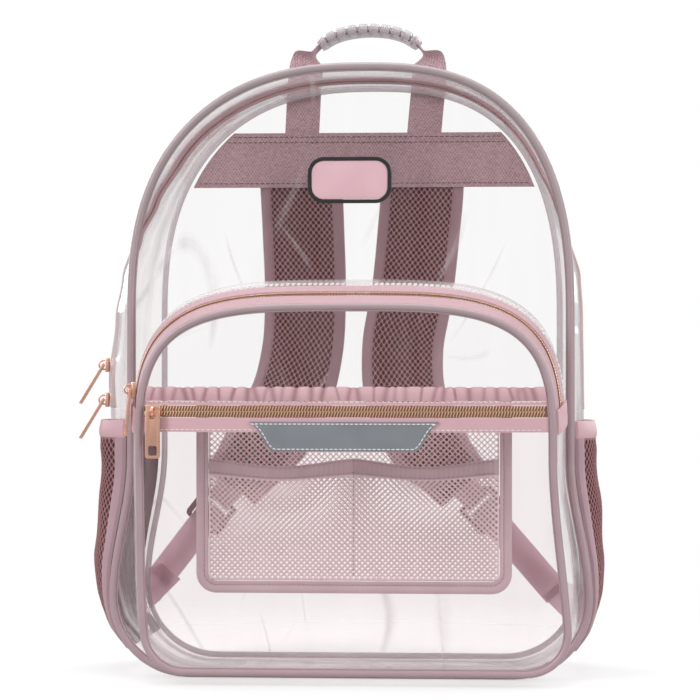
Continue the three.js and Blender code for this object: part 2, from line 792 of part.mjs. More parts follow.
// A point of a side pocket: side 1 is right and -1 left, y, height, and distance out.
function sidePocketPoint(side, y, height, out) {
  const across = (y - frontY) / bodyDepth;
  const rise = (height - sidePocketBottom) / (sidePocketTop - sidePocketBottom);
  const belly = Math.sin(Math.PI * across) ** 0.6;
  const seat = vinyl / 2 + gap + net / 2;
  const open = seat + sidePocketStand * belly * readRows(standRows, "out", rise);
  const share = bodyFront.shareAt(height);
  return bodyWall(side > 0 ? share : 1 - share, y, open + out);
}

function addSidePocket(side, word) {
  const first = frontY + pipingRadius + gap;
  const last = backY - bindingRadius - gap;
  const stations = span(first, last, 8);
  const bandBottom = sidePocketTop - sidePocketBand;
  // Rows lie closer together low down, where the wall turns under.
  const part = (low, high, rows, thickness) => {
    const heights = span(0, 1, rows).map((share) => mix(low, high, share ** 1.6));
    const grid = (out) => heights.map((z) => stations.map((y) => sidePocketPoint(side, y, z, out)));
    return sheet(grid(thickness / 2), grid(-thickness / 2));
  };
  add(`side_pocket_net_${word}`, part(sidePocketBottom, bandBottom - gap, 10, net), mauveNet);
  add(`side_pocket_band_${word}`, part(bandBottom, sidePocketTop, 1, tape), mauveTape);
}

// Yoke, handle and straps

const backFace = backY + vinyl / 2 + gap;
const yokeFace = backFace + yokeThickness + gap;

function addYoke() {
  const edge = bindingRadius + gap;
  const side = (way) => span(yokeBottom, yokeTop, 4).map((z) =>
    ({ x: bodyBack.lean(z) + way * (bodyBack.halfWidthAt(z) - edge * 2), z }));
  const [rightSide, leftSide] = [side(1), side(-1).reverse()];
  const yoke = plate(shapeOf([...rightSide, ...leftSide]), backFace, backFace + yokeThickness);
  add("yoke_band", yoke, mauveWebbing);
}

// A flat or padded strip along a curve. Each station gives its width, thickness, outward side and
// how far its middle rises outward from the curve.
function ribbon(points, station, profile) {
  const sections = points.map((p, i) => {
    const before = points[Math.max(i - 1, 0)];
    const after = points[Math.min(i + 1, points.length - 1)];
    const along = after.clone().sub(before).normalize();
    const { width, thickness, outward, rise = 0 } = station(i / (points.length - 1), p);
    const out = outward.clone().addScaledVector(along, -outward.dot(along)).normalize();
    const across = along.clone().cross(out);
    return profile(width, thickness).map(([u, v]) =>
      p.clone().addScaledVector(across, u).addScaledVector(out, v + rise));
  });
  return tube(sections);
}

const flatProfile = (width, thickness) => [
  [width / 2, thickness / 2],
  [-width / 2, thickness / 2],
  [-width / 2, -thickness / 2],
  [width / 2, -thickness / 2],
];

const paddedProfile = (width, thickness) => {
  const [w, t] = [width / 2, thickness / 2];
  const edge = Math.min(thickness * 0.7, w / 2);
  return [
    [w, t * 0.35], [w - edge, t], [edge - w, t], [-w, t * 0.35],
    [-w, -t * 0.35], [edge - w, -t], [w - edge, -t], [w, -t * 0.35],
  ];
};

const backward = new THREE.Vector3(0, 1, 0);
const upward = new THREE.Vector3(0, 0, 1);

// The handle's webbing rises flat against the back panel and turns over to lie flat in the arch.
// Rows run from the middle of the arch outward, as shares of the spread and of the arch's rise.
const handleY = yokeFace + webbing / 2 + gap;
const legBottom = strapTop + handleLegOverlap;
const handleRows = [
  { spread: 0.41, rise: 0.95 },
  { spread: 0.68, rise: 0.83 },
  { spread: 0.86, rise: 0.66 },
  { spread: 0.98, rise: 0.42 },
  { spread: 1.0, rise: 0.14 },
];

function handlePath(from, to, steps) {
  const leaned = (x, z) => x + handleLean * inUnit((z - legBottom) / (handleTop - legBottom));
  const half = (side) => [
    ...handleRows.map((row) => [side * handleSpread * row.spread, mix(backTop, handleTop, row.rise)]),
    [side * mix(strapSpacing, handleSpread, 0.6), mix(legBottom, backTop, 0.6)],
    [side * strapSpacing, legBottom],
  ];
  const points = [...half(-1).reverse(), [0, handleTop], ...half(1)];
  const curve = new THREE.CatmullRomCurve3(
    points.map(([x, z]) => new THREE.Vector3(leaned(x, z), handleY, z)), false, "centripetal");
  return span(from, to, steps).map((share) => curve.getPoint(share));
}

// Which way the handle's outer side faces: back on the legs, up along the arch.
function handleOutward(point) {
  const turned = mix(backTop, handleTop, 0.64);
  const flat = mix(backTop, handleTop, 0.4);
  const turn = smooth(inUnit((turned - point.z) / (turned - flat)));
  return upward.clone().multiplyScalar(1 - turn).addScaledVector(backward, turn);
}

function addHandle() {
  const gripHalf = 0.185;
  const [gripStart, gripEnd] = [0.5 - gripHalf, 0.5 + gripHalf];
  const slotOverrun = 0.01;
  const webbingStation = (share, point) =>
    ({ width: handleWidth, thickness: webbing, outward: handleOutward(point) });
  add("handle_webbing", ribbon(handlePath(0, 1, 60), webbingStation, flatProfile), mauveWebbing);
  const gripPart = (from, to, width, thickness, profile) =>
    ribbon(handlePath(from, to, 18), () => ({ width, thickness, outward: upward }), profile);
  const outer = gripPart(gripStart, gripEnd, gripWidth, gripThickness, paddedProfile);
  const slot = gripPart(gripStart - slotOverrun, gripEnd + slotOverrun,
    handleWidth + 2 * gap, webbing + 2 * gap, flatProfile);
  add("handle_grip", cut(outer, slot), clearGrip);
}

// The inner face of a shoulder strap: sewn to the yoke, out and down behind the back, then
// outward to the bag's lower corner. Shares are of the strap's own drop, reach and spread.
const strapReach = 40;
const strapDrop = 240;
const strapSpread = 54;
const strapRows = [
  { drop: 0.0, reach: 0.0, left: 0.0, right: 0.0 },
  { drop: 0.08, reach: 0.02, left: 0.0, right: 0.0 },
  { drop: 0.22, reach: 0.42, left: 0.0, right: -0.065 },
  { drop: 0.4, reach: 0.82, left: 0.0, right: -0.165 },
  { drop: 0.58, reach: 1.0, left: 0.05, right: -0.305 },
  { drop: 0.74, reach: 0.95, left: 0.23, right: -0.25 },
  { drop: 0.88, reach: 0.78, left: 0.6, right: 0.08 },
  { drop: 1.0, reach: 0.56, left: 1.0, right: 0.55 },
];

function strapCurve(side) {
  const word = side > 0 ? "right" : "left";
  return new THREE.CatmullRomCurve3(strapRows.map((row) => new THREE.Vector3(
    side * (strapSpacing + strapSpread * row[word]),
    yokeFace + strapReach * row.reach,
    strapTop - strapDrop * row.drop,
  )), false, "centripetal");
}

function addShoulderStrap(side, word) {
  const curve = strapCurve(side);
  const points = curve.getPoints(20);
  const ramp = (share, from, to) => smooth(inUnit((share - from) / (to - from)));
  const station = (share) => {
    const puffed = ramp(share, 0.06, 0.2) * (1 - 0.4 * ramp(share, 0.94, 1));
    const thickness = mix(sewnThickness, strapThickness, puffed);
    const width = mix(strapWidth, strapEndWidth, ramp(share, 0.8, 1));
    return { width, thickness, outward: backward, rise: thickness / 2 };
  };
  add(`shoulder_strap_${word}`, ribbon(points, station, paddedProfile), mauveWebbing);
}

// The ladder lock hangs from the strap's end on a webbing loop. Its own frame has its long way
// along the strap, up, and its face outward.
const loopRadius = Math.hypot(lockBar, lockThickness) / 2 + gap + webbing / 2;

function lockFrame(side) {
  const curve = strapCurve(side);
  const end = curve.getPoint(1);
  const down = curve.getTangent(1).normalize();
  const up = down.clone().negate();
  const out = backward.clone().addScaledVector(up, -backward.dot(up)).normalize();
  const centre = end.clone().addScaledVector(down, lockReach).addScaledVector(out, strapThickness / 3);
  const across = up.clone().cross(out).normalize();
  const place = (u, s, n) =>
    centre.clone().addScaledVector(across, u).addScaledVector(up, s).addScaledVector(out, n);
  return { centre, up, out, across, place };
}

function addLadderLock(side, word) {
  const { centre, up, out, across, place } = lockFrame(side);
  const slotWidth = lowerWebbingWidth + lockSlotPlay;
  const shape = roundedRectangle(lockWidth, lockHeight, lockCorner);
  const slotHeight = (lockHeight - 3 * lockBar) / 2;
  for (const side of [-1, 1]) {
    const middle = side * (lockBar + slotHeight) / 2;
    shape.holes.push(roundedRectangle(slotWidth, slotHeight, lockSlotCorner, middle));
  }
  const frame = plate(shape, -lockThickness / 2, lockThickness / 2, 1);
  const lock = add(`ladder_lock_${word}`, frame, mauvePlastic);
  lock.setRotationFromMatrix(new THREE.Matrix4().makeBasis(across.clone().negate(), out, up));
  lock.position.copy(centre);

  const topBar = (lockHeight - lockBar) / 2;
  const loopEnd = lockReach - gap;
  const loop = [
    [loopEnd, loopRadius], [topBar, loopRadius],
    ...span(0, Math.PI, 6).slice(1, -1).map((turn) =>
      [topBar - loopRadius * Math.sin(turn), loopRadius * Math.cos(turn)]),
    [topBar, -loopRadius], [loopEnd, -loopRadius],
  ];
  add(`lock_loop_${word}`, webbingAlong(loop, place, across), mauveWebbing);
}

// Flat webbing along points given as distance up the strap and distance out of its face.
function webbingAlong(rows, place, across) {
  const sections = rows.map(([s, n], i) => {
    const [a, b] = [rows[Math.max(i - 1, 0)], rows[Math.min(i + 1, rows.length - 1)]];
    const length = Math.hypot(b[0] - a[0], b[1] - a[1]);
    const normal = [-(b[1] - a[1]) / length, (b[0] - a[0]) / length];
    const corner = (u, v) => place(u, s + normal[0] * v, n + normal[1] * v);
    const [w, t] = [lowerWebbingWidth / 2, webbing / 2];
    return [corner(w, t), corner(-w, t), corner(-w, -t), corner(w, -t)];
  });
  return tube(sections);
}

// Adjusting webbing: from the corner tab up to the lock, round its middle bar, and a free tail.
const anchors = { left: { x: 147, z: 56 }, right: { x: 139, z: 45 } };

function addLowerWebbing(side, word) {
  const { place, across, centre, out } = lockFrame(side);
  const { x, z } = anchors[word];
  const anchor = new THREE.Vector3(side * x, backY + bindingRadius + 2 * gap + webbing, z);
  const drop = -centre.distanceTo(anchor);
  const anchorOut = anchor.clone().sub(centre).dot(out);
  const tailStart = -lockHeight * 0.55;
  const rows = [
    [drop, anchorOut],
    [drop * 0.7, anchorOut * 0.75 - loopRadius * 0.3],
    [drop * 0.42, -loopRadius * 1.3],
    [-lockBar, -loopRadius],
    ...span(0, Math.PI, 6).slice(1, -1).map((turn) =>
      [loopRadius * Math.sin(turn), -loopRadius * Math.cos(turn)]),
    [-lockBar, loopRadius],
    [tailStart, loopRadius * 1.05],
    [tailStart - tailLength * 0.35, loopRadius * 1.8],
    [tailStart - tailLength * 0.7, loopRadius * 1.6],
    [tailStart - tailLength, loopRadius * 1.9],
  ];
  add(`lower_webbing_${word}`, webbingAlong(rows, place, across), mauveWebbing);
}

// A folded corner tab that the adjusting webbing is sewn to.
const tabDrop = 22;
const tabWidth = 24;
const tabTopWidth = 10;
const tabShoulder = 2;
const tabRise = 10;
const tabPeak = 4;

function addAnchorTab(side, word) {
  const { z } = anchors[word];
  const outer = bodyBack.halfWidthAt(z);
  const shape = new THREE.Shape();
  shape.moveTo(side * outer, z - tabDrop);
  shape.lineTo(side * outer, z + tabRise);
  shape.lineTo(side * (outer - tabTopWidth), z + tabRise + tabPeak);
  shape.lineTo(side * (outer - tabWidth), z + tabShoulder);
  const near = backY + bindingRadius + gap;
  add(`anchor_tab_${word}`, plate(shape, near, near + webbing / 2), mauveWebbing);
}

// Zip sliders and pulls

// A slider faces -Y at its own origin, with its staple a half ring round the hinge line.
const hingeLift = pullThickness / 2 + hingePlay;

function sliderGeometry(alongX) {
  const body = new THREE.Shape();
  const [length, wide, narrow] = [sliderLength / 2, sliderWidth / 2, sliderWidth * 0.36];
  const corners = [[-length, wide], [-length, -wide], [length * 0.3, -wide], [length, -narrow],
    [length, narrow], [length * 0.3, wide]];
  corners.forEach(([a, b], i) => {
    const [x, z] = alongX ? [a, b] : [b, a];
    if (i === 0) {
      body.moveTo(x, z);
    } else {
      body.lineTo(x, z);
    }
  });
  const block = plate(body, -sliderThickness, 0);
  const hingeY = -sliderThickness - hingeLift;
  const sections = [-90, -60, -30, 0, 30, 60, 90].map((degrees) => {
    const turn = THREE.MathUtils.degToRad(degrees);
    const at = (radius, x) =>
      new THREE.Vector3(x, hingeY - radius * Math.cos(turn), radius * Math.sin(turn));
    const [near, far] = [stapleRadius - stapleThickness / 2, stapleRadius + stapleThickness / 2];
    const half = stapleWidth / 2;
    return [at(near, -half), at(far, -half), at(far, half), at(near, half)];
  });
  const foot = (side) => {
    const leg = new THREE.BoxGeometry(stapleWidth, hingeLift + sliderThickness / 2, stapleThickness);
    return leg.translate(0, hingeY + (hingeLift + sliderThickness / 2) / 2, side * stapleRadius);
  };
  return joined(joined(joined(block, tube(sections)), foot(1)), foot(-1));
}

// A pull hangs from the hinge line: an eye at its top, a plain plate, and a window near its foot.
function pullGeometry() {
  const top = pullThickness / 2;
  const height = pullLength + top;
  const shape = roundedRectangle(pullWidth, height, pullCorner, top - height / 2);
  const eyeHeight = stapleRadius * 2 - pullThickness - eyePlay;
  const eye = roundedRectangle(eyeWidth, eyeHeight, eyeCorner, -pullThickness / 2 - eyeHeight / 2);
  const opening = roundedRectangle(pullWindowWidth, pullWindowHeight, pullWindowCorner,
    -pullLength + pullFoot + pullWindowHeight / 2);
  shape.holes.push(eye, opening);
  return plate(shape, -pullThickness / 2, pullThickness / 2, 1);
}

// Places a slider and its pull at a point, turned about Z to face along normal, the pull lifted
// by restAngle from hanging straight down.
function addZipPull({ name, point, normal, alongX, restAngle = 0, shift = 0 }) {
  const place = new THREE.Group();
  place.position.copy(point);
  place.rotation.z = Math.atan2(normal.x, -normal.y);
  model.add(place);
  add(`${name}_slider`, sliderGeometry(alongX), roseGold, place);
  const pull = add(`${name}_pull`, pullGeometry(), roseGold, place);
  pull.position.set(shift, -sliderThickness - hingeLift, 0);
  pull.rotation.x = -THREE.MathUtils.degToRad(restAngle);
}

function wallNormal(wall, share, y) {
  const step = 2;
  const [a, b] = [wall(share, y - step), wall(share, y + step)];
  const along = b.sub(a).normalize();
  const side = Math.sign(wall(share, y).x);
  return new THREE.Vector3(side * along.y, -side * along.x, 0).normalize();
}

function addZipPulls() {
  const coilTop = coilHeight / 2;
  const onWall = (wall, share, y, lift) => ({
    point: wall(share, y, lift),
    normal: wallNormal(wall, share, y),
  });
  const upperShare = 1 - bodyFront.shareAt(zipEndHeight + upperSliderRise);
  const lowerShare = 1 - bodyFront.shareAt(zipEndHeight + lowerSliderRise);
  const lift = coilTop + gap;
  const mainZip = (share) => ({ ...onWall(bodyWall, share, zipMiddle, lift), restAngle: mainPullRest });
  addZipPull({ name: "main_zip_upper", ...mainZip(upperShare) });
  addZipPull({ name: "main_zip_lower", ...mainZip(lowerShare) });
  const pocketZipY = pocketY + pocketPipingRadius + gap + pocketTapeWidth + coilWidth / 2;
  const pocketShare = 1 - pocketFront.shareAt(pocketZipEnd + pocketSliderRise);
  const pocketZip = onWall(pocketWall, pocketShare, pocketZipY, lift);
  addZipPull({ name: "pocket_zip", ...pocketZip, restAngle: pocketPullRest });
  const windowHalf = pocketFront.halfWidthAt(windowZipHeight);
  const windowX = -windowHalf + pocketPipingRadius + sliderLength / 2 + windowSliderInset;
  const windowPoint = new THREE.Vector3(windowX, pocketY - coilTop - windowSliderLift, windowZipHeight);
  addZipPull({ name: "window_zip", point: windowPoint, normal: new THREE.Vector3(0, -1, 0), alongX: true });
}

addBody();
addMainArch();
addLowerGusset();
addPocketWalls();
addZipEnds();
addPocketFront();
addPatch();
addBadge();
addOrganizer();
addPouch();
addYoke();
addHandle();
for (const [side, word] of [[-1, "left"], [1, "right"]]) {
  addSidePocket(side, word);
  addShoulderStrap(side, word);
  addLadderLock(side, word);
  addLowerWebbing(side, word);
  addAnchorTab(side, word);
}
addZipPulls();

export default model;
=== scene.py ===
"""Looks of a clear stadium backpack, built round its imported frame.

Shapes are worked out in millimetres and turned into metres where a mesh is made.
+Z is up, the front faces -Y, and the origin is the middle of the base on the floor.
"""

import math
import random

import bmesh
import bpy
import numpy as np
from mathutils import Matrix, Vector


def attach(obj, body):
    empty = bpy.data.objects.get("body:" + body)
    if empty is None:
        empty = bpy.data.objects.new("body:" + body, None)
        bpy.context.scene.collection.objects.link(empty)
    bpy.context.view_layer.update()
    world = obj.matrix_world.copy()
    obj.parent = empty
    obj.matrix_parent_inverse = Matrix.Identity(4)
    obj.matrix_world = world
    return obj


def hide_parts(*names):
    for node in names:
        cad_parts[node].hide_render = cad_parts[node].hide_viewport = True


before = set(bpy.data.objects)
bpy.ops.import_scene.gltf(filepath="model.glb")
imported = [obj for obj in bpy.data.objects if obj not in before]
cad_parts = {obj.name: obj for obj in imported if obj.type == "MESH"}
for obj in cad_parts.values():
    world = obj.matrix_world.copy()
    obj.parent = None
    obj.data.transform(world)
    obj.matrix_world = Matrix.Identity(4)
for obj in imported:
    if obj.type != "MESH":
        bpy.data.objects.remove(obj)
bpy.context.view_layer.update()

MM = 0.001
TAU = 2 * math.pi

# Walls and gaps
VINYL = 1.0
TAPE = 1.2
NET = 1.0
WEBBING = 1.6
GAP = 0.3

# Main body
BODY_TOP = 422.5
BODY_HALF_WIDTH = 152.0
BASE_HALF_WIDTH = 164.5
SPRING_HEIGHT = 250.0
WAIST_SHARE = 0.5
BODY_CORNER = 52.0
ARCH_POWER = 2.55
ARCH_LEAN = 9.0
BODY_DEPTH = 120.0
BACK_HALF_WIDTH = 145.0
BACK_BASE_HALF_WIDTH = 157.5
BACK_TOP = 418.0
SIDE_BULGE = 26.0
PIPING_RADIUS = 2.8
BINDING_RADIUS = 2.2

# Main zip over the arch
ZIP_END_HEIGHT = 186.0
ZIP_FRONT = 38.0
ZIP_TAPE_WIDTH = 11.0
COIL_WIDTH = 6.0
TOOTH_PITCH = 2.0
TOOTH_WIDTH = 1.3

# Front pocket
POCKET_DEPTH = 45.0
WINDOW_ZIP_HEIGHT = 185.5
POCKET_TOP = WINDOW_ZIP_HEIGHT + 70.5
POCKET_HALF_WIDTH = 140.0
POCKET_BASE_HALF_WIDTH = 143.5
POCKET_SPRING = 150.0
POCKET_CORNER = 28.0
POCKET_LEAN = 6.5
POCKET_BASE = 9.0
POCKET_POWER = 3.7
POCKET_REAR_TOP = POCKET_TOP + 19.0
POCKET_REAR_HALF_WIDTH = 147.5
POCKET_REAR_BASE_HALF_WIDTH = 150.5
POCKET_REAR_CORNER = 46.0
POCKET_BULGE = 3.0
POCKET_DOME = 9.0
POCKET_PIPING_RADIUS = 2.6
POCKET_ZIP_END = 177.0
POCKET_TAPE_WIDTH = 9.0

# Zip and bands across the pocket front
GATHER_WIDTH = 10.0
WINDOW_COIL_WIDTH = 8.0
WINDOW_TAPE_WIDTH = 3.0
LOWER_TAPE_WIDTH = 10.0
PATCH_TOP_HALF_WIDTH = 64.0
PATCH_BOTTOM_HALF_WIDTH = 47.0
PATCH_TOP = WINDOW_ZIP_HEIGHT - WINDOW_COIL_WIDTH / 2 - 2.9
PATCH_HEIGHT = 20.0

# Plain badge on the front panel
BADGE_WIDTH = 58.0
BADGE_HEIGHT = 32.0
BADGE_CENTRE = 344.0
BADGE_THICKNESS = 2.0
BADGE_RIM = 2.6

# Net organiser inside the front pocket
ORGANIZER_CENTRE = 2.8
ORGANIZER_HALF_WIDTH = 109.0
ORGANIZER_TOP = 195.0
ORGANIZER_BOTTOM = 59.0
ORGANIZER_BINDING = 8.5
ORGANIZER_CORNER = 14.0
POUCH_TOP = 152.0
POUCH_BAND = 11.0
POUCH_BULGE = 11.0

# Side pockets
SIDE_POCKET_TOP = ZIP_END_HEIGHT - 8.0
SIDE_POCKET_BOTTOM = 22.0
SIDE_POCKET_BAND = 12.0
SIDE_POCKET_STAND = 9.8
SIDE_POCKET_TRIM = 7.0

# Yoke, handle and shoulder straps
YOKE_BOTTOM = 346.0
YOKE_TOP = 386.0
YOKE_THICKNESS = 1.2
HANDLE_SPREAD = 45.5
HANDLE_TOP = BACK_TOP + 43.0
HANDLE_LEAN = 6.5
HANDLE_WIDTH = 25.0
GRIP_WIDTH = 28.0
GRIP_THICKNESS = 9.0
STRAP_WIDTH = 60.0
STRAP_THICKNESS = 10.0
STRAP_END_WIDTH = 46.0
STRAP_BINDING = 7.5
SEWN_THICKNESS = 3.0
STRAP_SPACING = 44.5
STRAP_TOP = 366.5
STRAP_REACH = 40.0
STRAP_DROP = 240.0
STRAP_SPREAD = 54.0
LOWER_WEBBING_WIDTH = 20.0
LOCK_HEIGHT = 26.0
LOCK_THICKNESS = 3.6
LOCK_BAR = 2.6
LOCK_REACH = 24.0
TAIL_LENGTH = 62.0
ANCHORS = {"left": (147.0, 56.0), "right": (139.0, 45.0)}

# Places that follow from the sizes above
FRONT_Y = -BODY_DEPTH / 2
BACK_Y = BODY_DEPTH / 2
POCKET_Y = FRONT_Y - POCKET_DEPTH
BODY_BASE = PIPING_RADIUS + GAP
PANEL_FACE = FRONT_Y - VINYL / 2 - GAP
BACK_FACE = BACK_Y + VINYL / 2 + GAP
YOKE_FACE = BACK_FACE + YOKE_THICKNESS + GAP
COIL_LOW = WINDOW_ZIP_HEIGHT - WINDOW_COIL_WIDTH / 2
COIL_HIGH = WINDOW_ZIP_HEIGHT + WINDOW_COIL_WIDTH / 2
TAPE_HIGH = COIL_HIGH + WINDOW_TAPE_WIDTH
GATHER_HIGH = TAPE_HIGH + GATHER_WIDTH
LOWER_TAPE_LOW = COIL_LOW - LOWER_TAPE_WIDTH

# Thread
STITCH_LENGTH = 2.6
STITCH_STEP = 4.0
STITCH_RADIUS = 0.38


# Camera and light


def add_camera():
    """A long lens a little to the right, level with the middle of the bag."""
    distance = 2000.0
    azimuth = math.radians(4.0)
    aim = Vector((-4.0, 0.0, 226.8)) * MM
    back = Vector((math.sin(azimuth), -math.cos(azimuth), 0.0))
    data = bpy.data.cameras.new("camera")
    data.sensor_width = 36.0
    data.lens = 144.6
    camera = bpy.data.objects.new("camera", data)
    camera.location = aim + back * distance * MM
    camera.rotation_euler = (-back).to_track_quat("-Z", "Y").to_euler()
    bpy.context.scene.collection.objects.link(camera)
    bpy.context.scene.camera = camera


def add_area(name, place, target, size, power):
    data = bpy.data.lights.new(name, "AREA")
    data.shape = "RECTANGLE"
    data.size, data.size_y = size
    data.energy = power
    lamp = bpy.data.objects.new(name, data)
    lamp.location = place
    lamp.rotation_euler = (Vector(target) - Vector(place)).to_track_quat("-Z", "Y").to_euler()
    bpy.context.scene.collection.objects.link(lamp)


def add_lights():
    """Five wide lamps that face the middle of the bag, each as name, place, size and watts."""
    middle = (0.0, 0.0, 0.22)
    lamps = [
        ("key_left", (-1.6, -1.5, 1.3), (0.7, 1.6), 26),
        ("fill_right", (1.8, -1.2, 0.9), (0.5, 1.6), 17),
        ("top", (0.0, 0.1, 2.2), (1.6, 1.0), 20),
        ("back_left", (-1.3, 1.6, 1.0), (0.8, 1.4), 14),
        ("back_right", (1.3, 1.6, 1.0), (0.8, 1.4), 14),
    ]
    for name, place, size, watts in lamps:
        add_area(name, place, middle, size, watts)


def add_world():
    """White to the eye, and a soft grey room for what the bag reflects."""
    world = bpy.data.worlds.new("studio")
    bpy.context.scene.world = world
    world.use_nodes = True
    tree = world.node_tree
    tree.nodes.clear()
    link = tree.links.new
    place = tree.nodes.new("ShaderNodeTexCoord")
    split = tree.nodes.new("ShaderNodeSeparateXYZ")
    link(place.outputs["Generated"], split.inputs[0])
    ramp = tree.nodes.new("ShaderNodeValToRGB")
    ramp.color_ramp.elements[0].position = 0.3
    ramp.color_ramp.elements[0].color = (0.55, 0.54, 0.54, 1)
    ramp.color_ramp.elements[1].position = 0.8
    ramp.color_ramp.elements[1].color = (0.95, 0.95, 0.96, 1)
    shifted = tree.nodes.new("ShaderNodeMath")
    shifted.operation = "MULTIPLY_ADD"
    shifted.inputs[1].default_value = 0.5
    shifted.inputs[2].default_value = 0.5
    link(split.outputs["Z"], shifted.inputs[0])
    link(shifted.outputs[0], ramp.inputs[0])
    room = tree.nodes.new("ShaderNodeBackground")
    room.inputs["Strength"].default_value = 0.75
    link(ramp.outputs[0], room.inputs["Color"])
    seen = tree.nodes.new("ShaderNodeBackground")
    seen.inputs["Color"].default_value = (1, 1, 1, 1)
    rays = tree.nodes.new("ShaderNodeLightPath")
    either = tree.nodes.new("ShaderNodeMixShader")
    link(rays.outputs["Is Camera Ray"], either.inputs[0])
    link(room.outputs[0], either.inputs[1])
    link(seen.outputs[0], either.inputs[2])
    output = tree.nodes.new("ShaderNodeOutputWorld")
    link(either.outputs[0], output.inputs[0])


# Materials


def screen(red, green, blue):
    """A colour given in screen values from 0 to 255, as the linear colour that nodes take."""
    def linear(value):
        share = value / 255
        return share / 12.92 if share <= 0.04045 else ((share + 0.055) / 1.055) ** 2.4
    return (linear(red), linear(green), linear(blue), 1.0)


class Look:
    """A node material, with short ways to add nodes and feed them."""

    def __init__(self, name):
        self.material = bpy.data.materials.new(name)
        self.material.use_nodes = True
        self.tree = self.material.node_tree
        self.tree.nodes.clear()

    def feed(self, socket, value):
        if isinstance(value, bpy.types.NodeSocket):
            self.tree.links.new(value, socket)
        else:
            socket.default_value = value

    def add(self, kind, inputs=None, **settings):
        node = self.tree.nodes.new(kind)
        for key, value in settings.items():
            setattr(node, key, value)
        for key, value in (inputs or {}).items():
            self.feed(node.inputs[key], value)
        return node

    def math(self, operation, first, second=0.0, third=0.0, clamp=False):
        node = self.add("ShaderNodeMath", {0: first, 1: second, 2: third}, operation=operation)
        node.use_clamp = clamp
        return node.outputs[0]

    def mixed(self, factor, first, second):
        node = self.add("ShaderNodeMix", {0: factor, 6: first, 7: second}, data_type="RGBA")
        return node.outputs[2]

    def noise(self, scale, detail=2.0, stretch=(1, 1, 1)):
        """Noise over the object's own metres, as a value."""
        place = self.add("ShaderNodeTexCoord").outputs["Object"]
        mapped = self.add("ShaderNodeMapping", {"Vector": place, "Scale": stretch}).outputs[0]
        return self.add("ShaderNodeTexNoise",
                        {"Vector": mapped, "Scale": scale, "Detail": detail}).outputs[0]

    def cloth(self):
        """The cloth's own coordinates: two ways along it in mm, and depth from 0 to 1."""
        node = self.add("ShaderNodeAttribute", attribute_name="cloth")
        return self.add("ShaderNodeSeparateXYZ", {0: node.outputs["Vector"]}).outputs

    def weave(self, pitch_u, pitch_v):
        """Height of a plain weave whose threads lie one pitch apart."""
        u, v, _ = self.cloth()
        across = self.math("SINE", self.math("MULTIPLY", u, math.pi / pitch_u))
        along = self.math("SINE", self.math("MULTIPLY", v, math.pi / pitch_v))
        return self.math("MULTIPLY_ADD", self.math("MULTIPLY", across, along), 0.5, 0.5)

    def ramp(self, value, low, high, bottom=0.0, top=1.0):
        """A value as one from bottom to top while it goes from low to high."""
        return self.add("ShaderNodeMapRange", {0: value, 1: low, 2: high, 3: bottom, 4: top}).outputs[0]

    def bump(self, height, distance, strength=1.0):
        """The normal over a height of 0 to 1 that stands distance mm high."""
        return self.add("ShaderNodeBump", {
            "Height": height, "Distance": distance * MM, "Strength": strength}).outputs[0]

    def principled(self, **inputs):
        named = {key.replace("_", " "): value for key, value in inputs.items()}
        return self.add("ShaderNodeBsdfPrincipled", named)

    def thinned(self, shader, colour, share):
        """The shader with a share of the light from behind let through."""
        behind = self.add("ShaderNodeBsdfTranslucent", {"Color": colour})
        return self.add("ShaderNodeMixShader", {0: share, 1: shader.outputs[0], 2: behind.outputs[0]})

    def finish(self, shader):
        output = self.add("ShaderNodeOutputMaterial")
        self.tree.links.new(shader.outputs[0], output.inputs[0])
        return self.material


# Tones of the film's painted reflections: grey for the dim room it mirrors where it turns away, white for
# highlight streaks.
PAINTED_REFLECTION_TONES = (screen(170, 156, 160), screen(252, 248, 249))


def clear_vinyl(name, tint, haze, ripple=0.35, streaks=(60.0, (1, 1, 0.1)), edge_cover=0.62,
                edge_power=3.2, painted_crease_cover=0.22, reflection_tones=PAINTED_REFLECTION_TONES):
    """See-through film, glossy where it turns away, with painted crease lines and painted reflections:
    streaks of grey and white tone.

    streaks is their scale and how they are stretched."""
    look = Look(name)
    ripples = look.noise(14.0, 1.0, (1, 1, 0.55))
    normal = look.bump(ripples, ripple * 10)
    facing = look.add("ShaderNodeLayerWeight", {"Blend": 0.5, "Normal": normal}).outputs["Facing"]
    drawn = look.noise(streaks[0], 3.0, streaks[1])
    edge = look.math("MULTIPLY", look.math("POWER", facing, edge_power), look.ramp(drawn, 0.4, 0.62, 0.3))
    # Thin wandering lines of painted shade and reflection, drawn as creases and kept to patches.
    wander = look.noise(5.0, 0.8, (1, 1, 0.45))
    line = look.ramp(look.math("PINGPONG", wander, 0.05), 0.0035, 0.0)
    crease = look.math("MULTIPLY", line, look.ramp(look.noise(11.0, 1.0), 0.5, 0.66, 0.0, painted_crease_cover))
    cover = look.math("ADD", look.math("MULTIPLY_ADD", edge, edge_cover, haze), crease, clamp=True)
    # Painted reflections: the film's colour streaks between grey and white.
    tone = look.mixed(look.ramp(look.noise(streaks[0] * 1.7, 2.0, streaks[1]), 0.35, 0.6),
                      *reflection_tones)
    film = look.principled(Base_Color=tone, Roughness=0.07, IOR=1.53,
                           Normal=normal, Coat_Weight=0.6, Coat_Roughness=0.03)
    clear = look.add("ShaderNodeBsdfTransparent", {"Color": tint})
    return look.finish(look.add("ShaderNodeMixShader", {0: cover, 1: clear.outputs[0], 2: film.outputs[0]}))


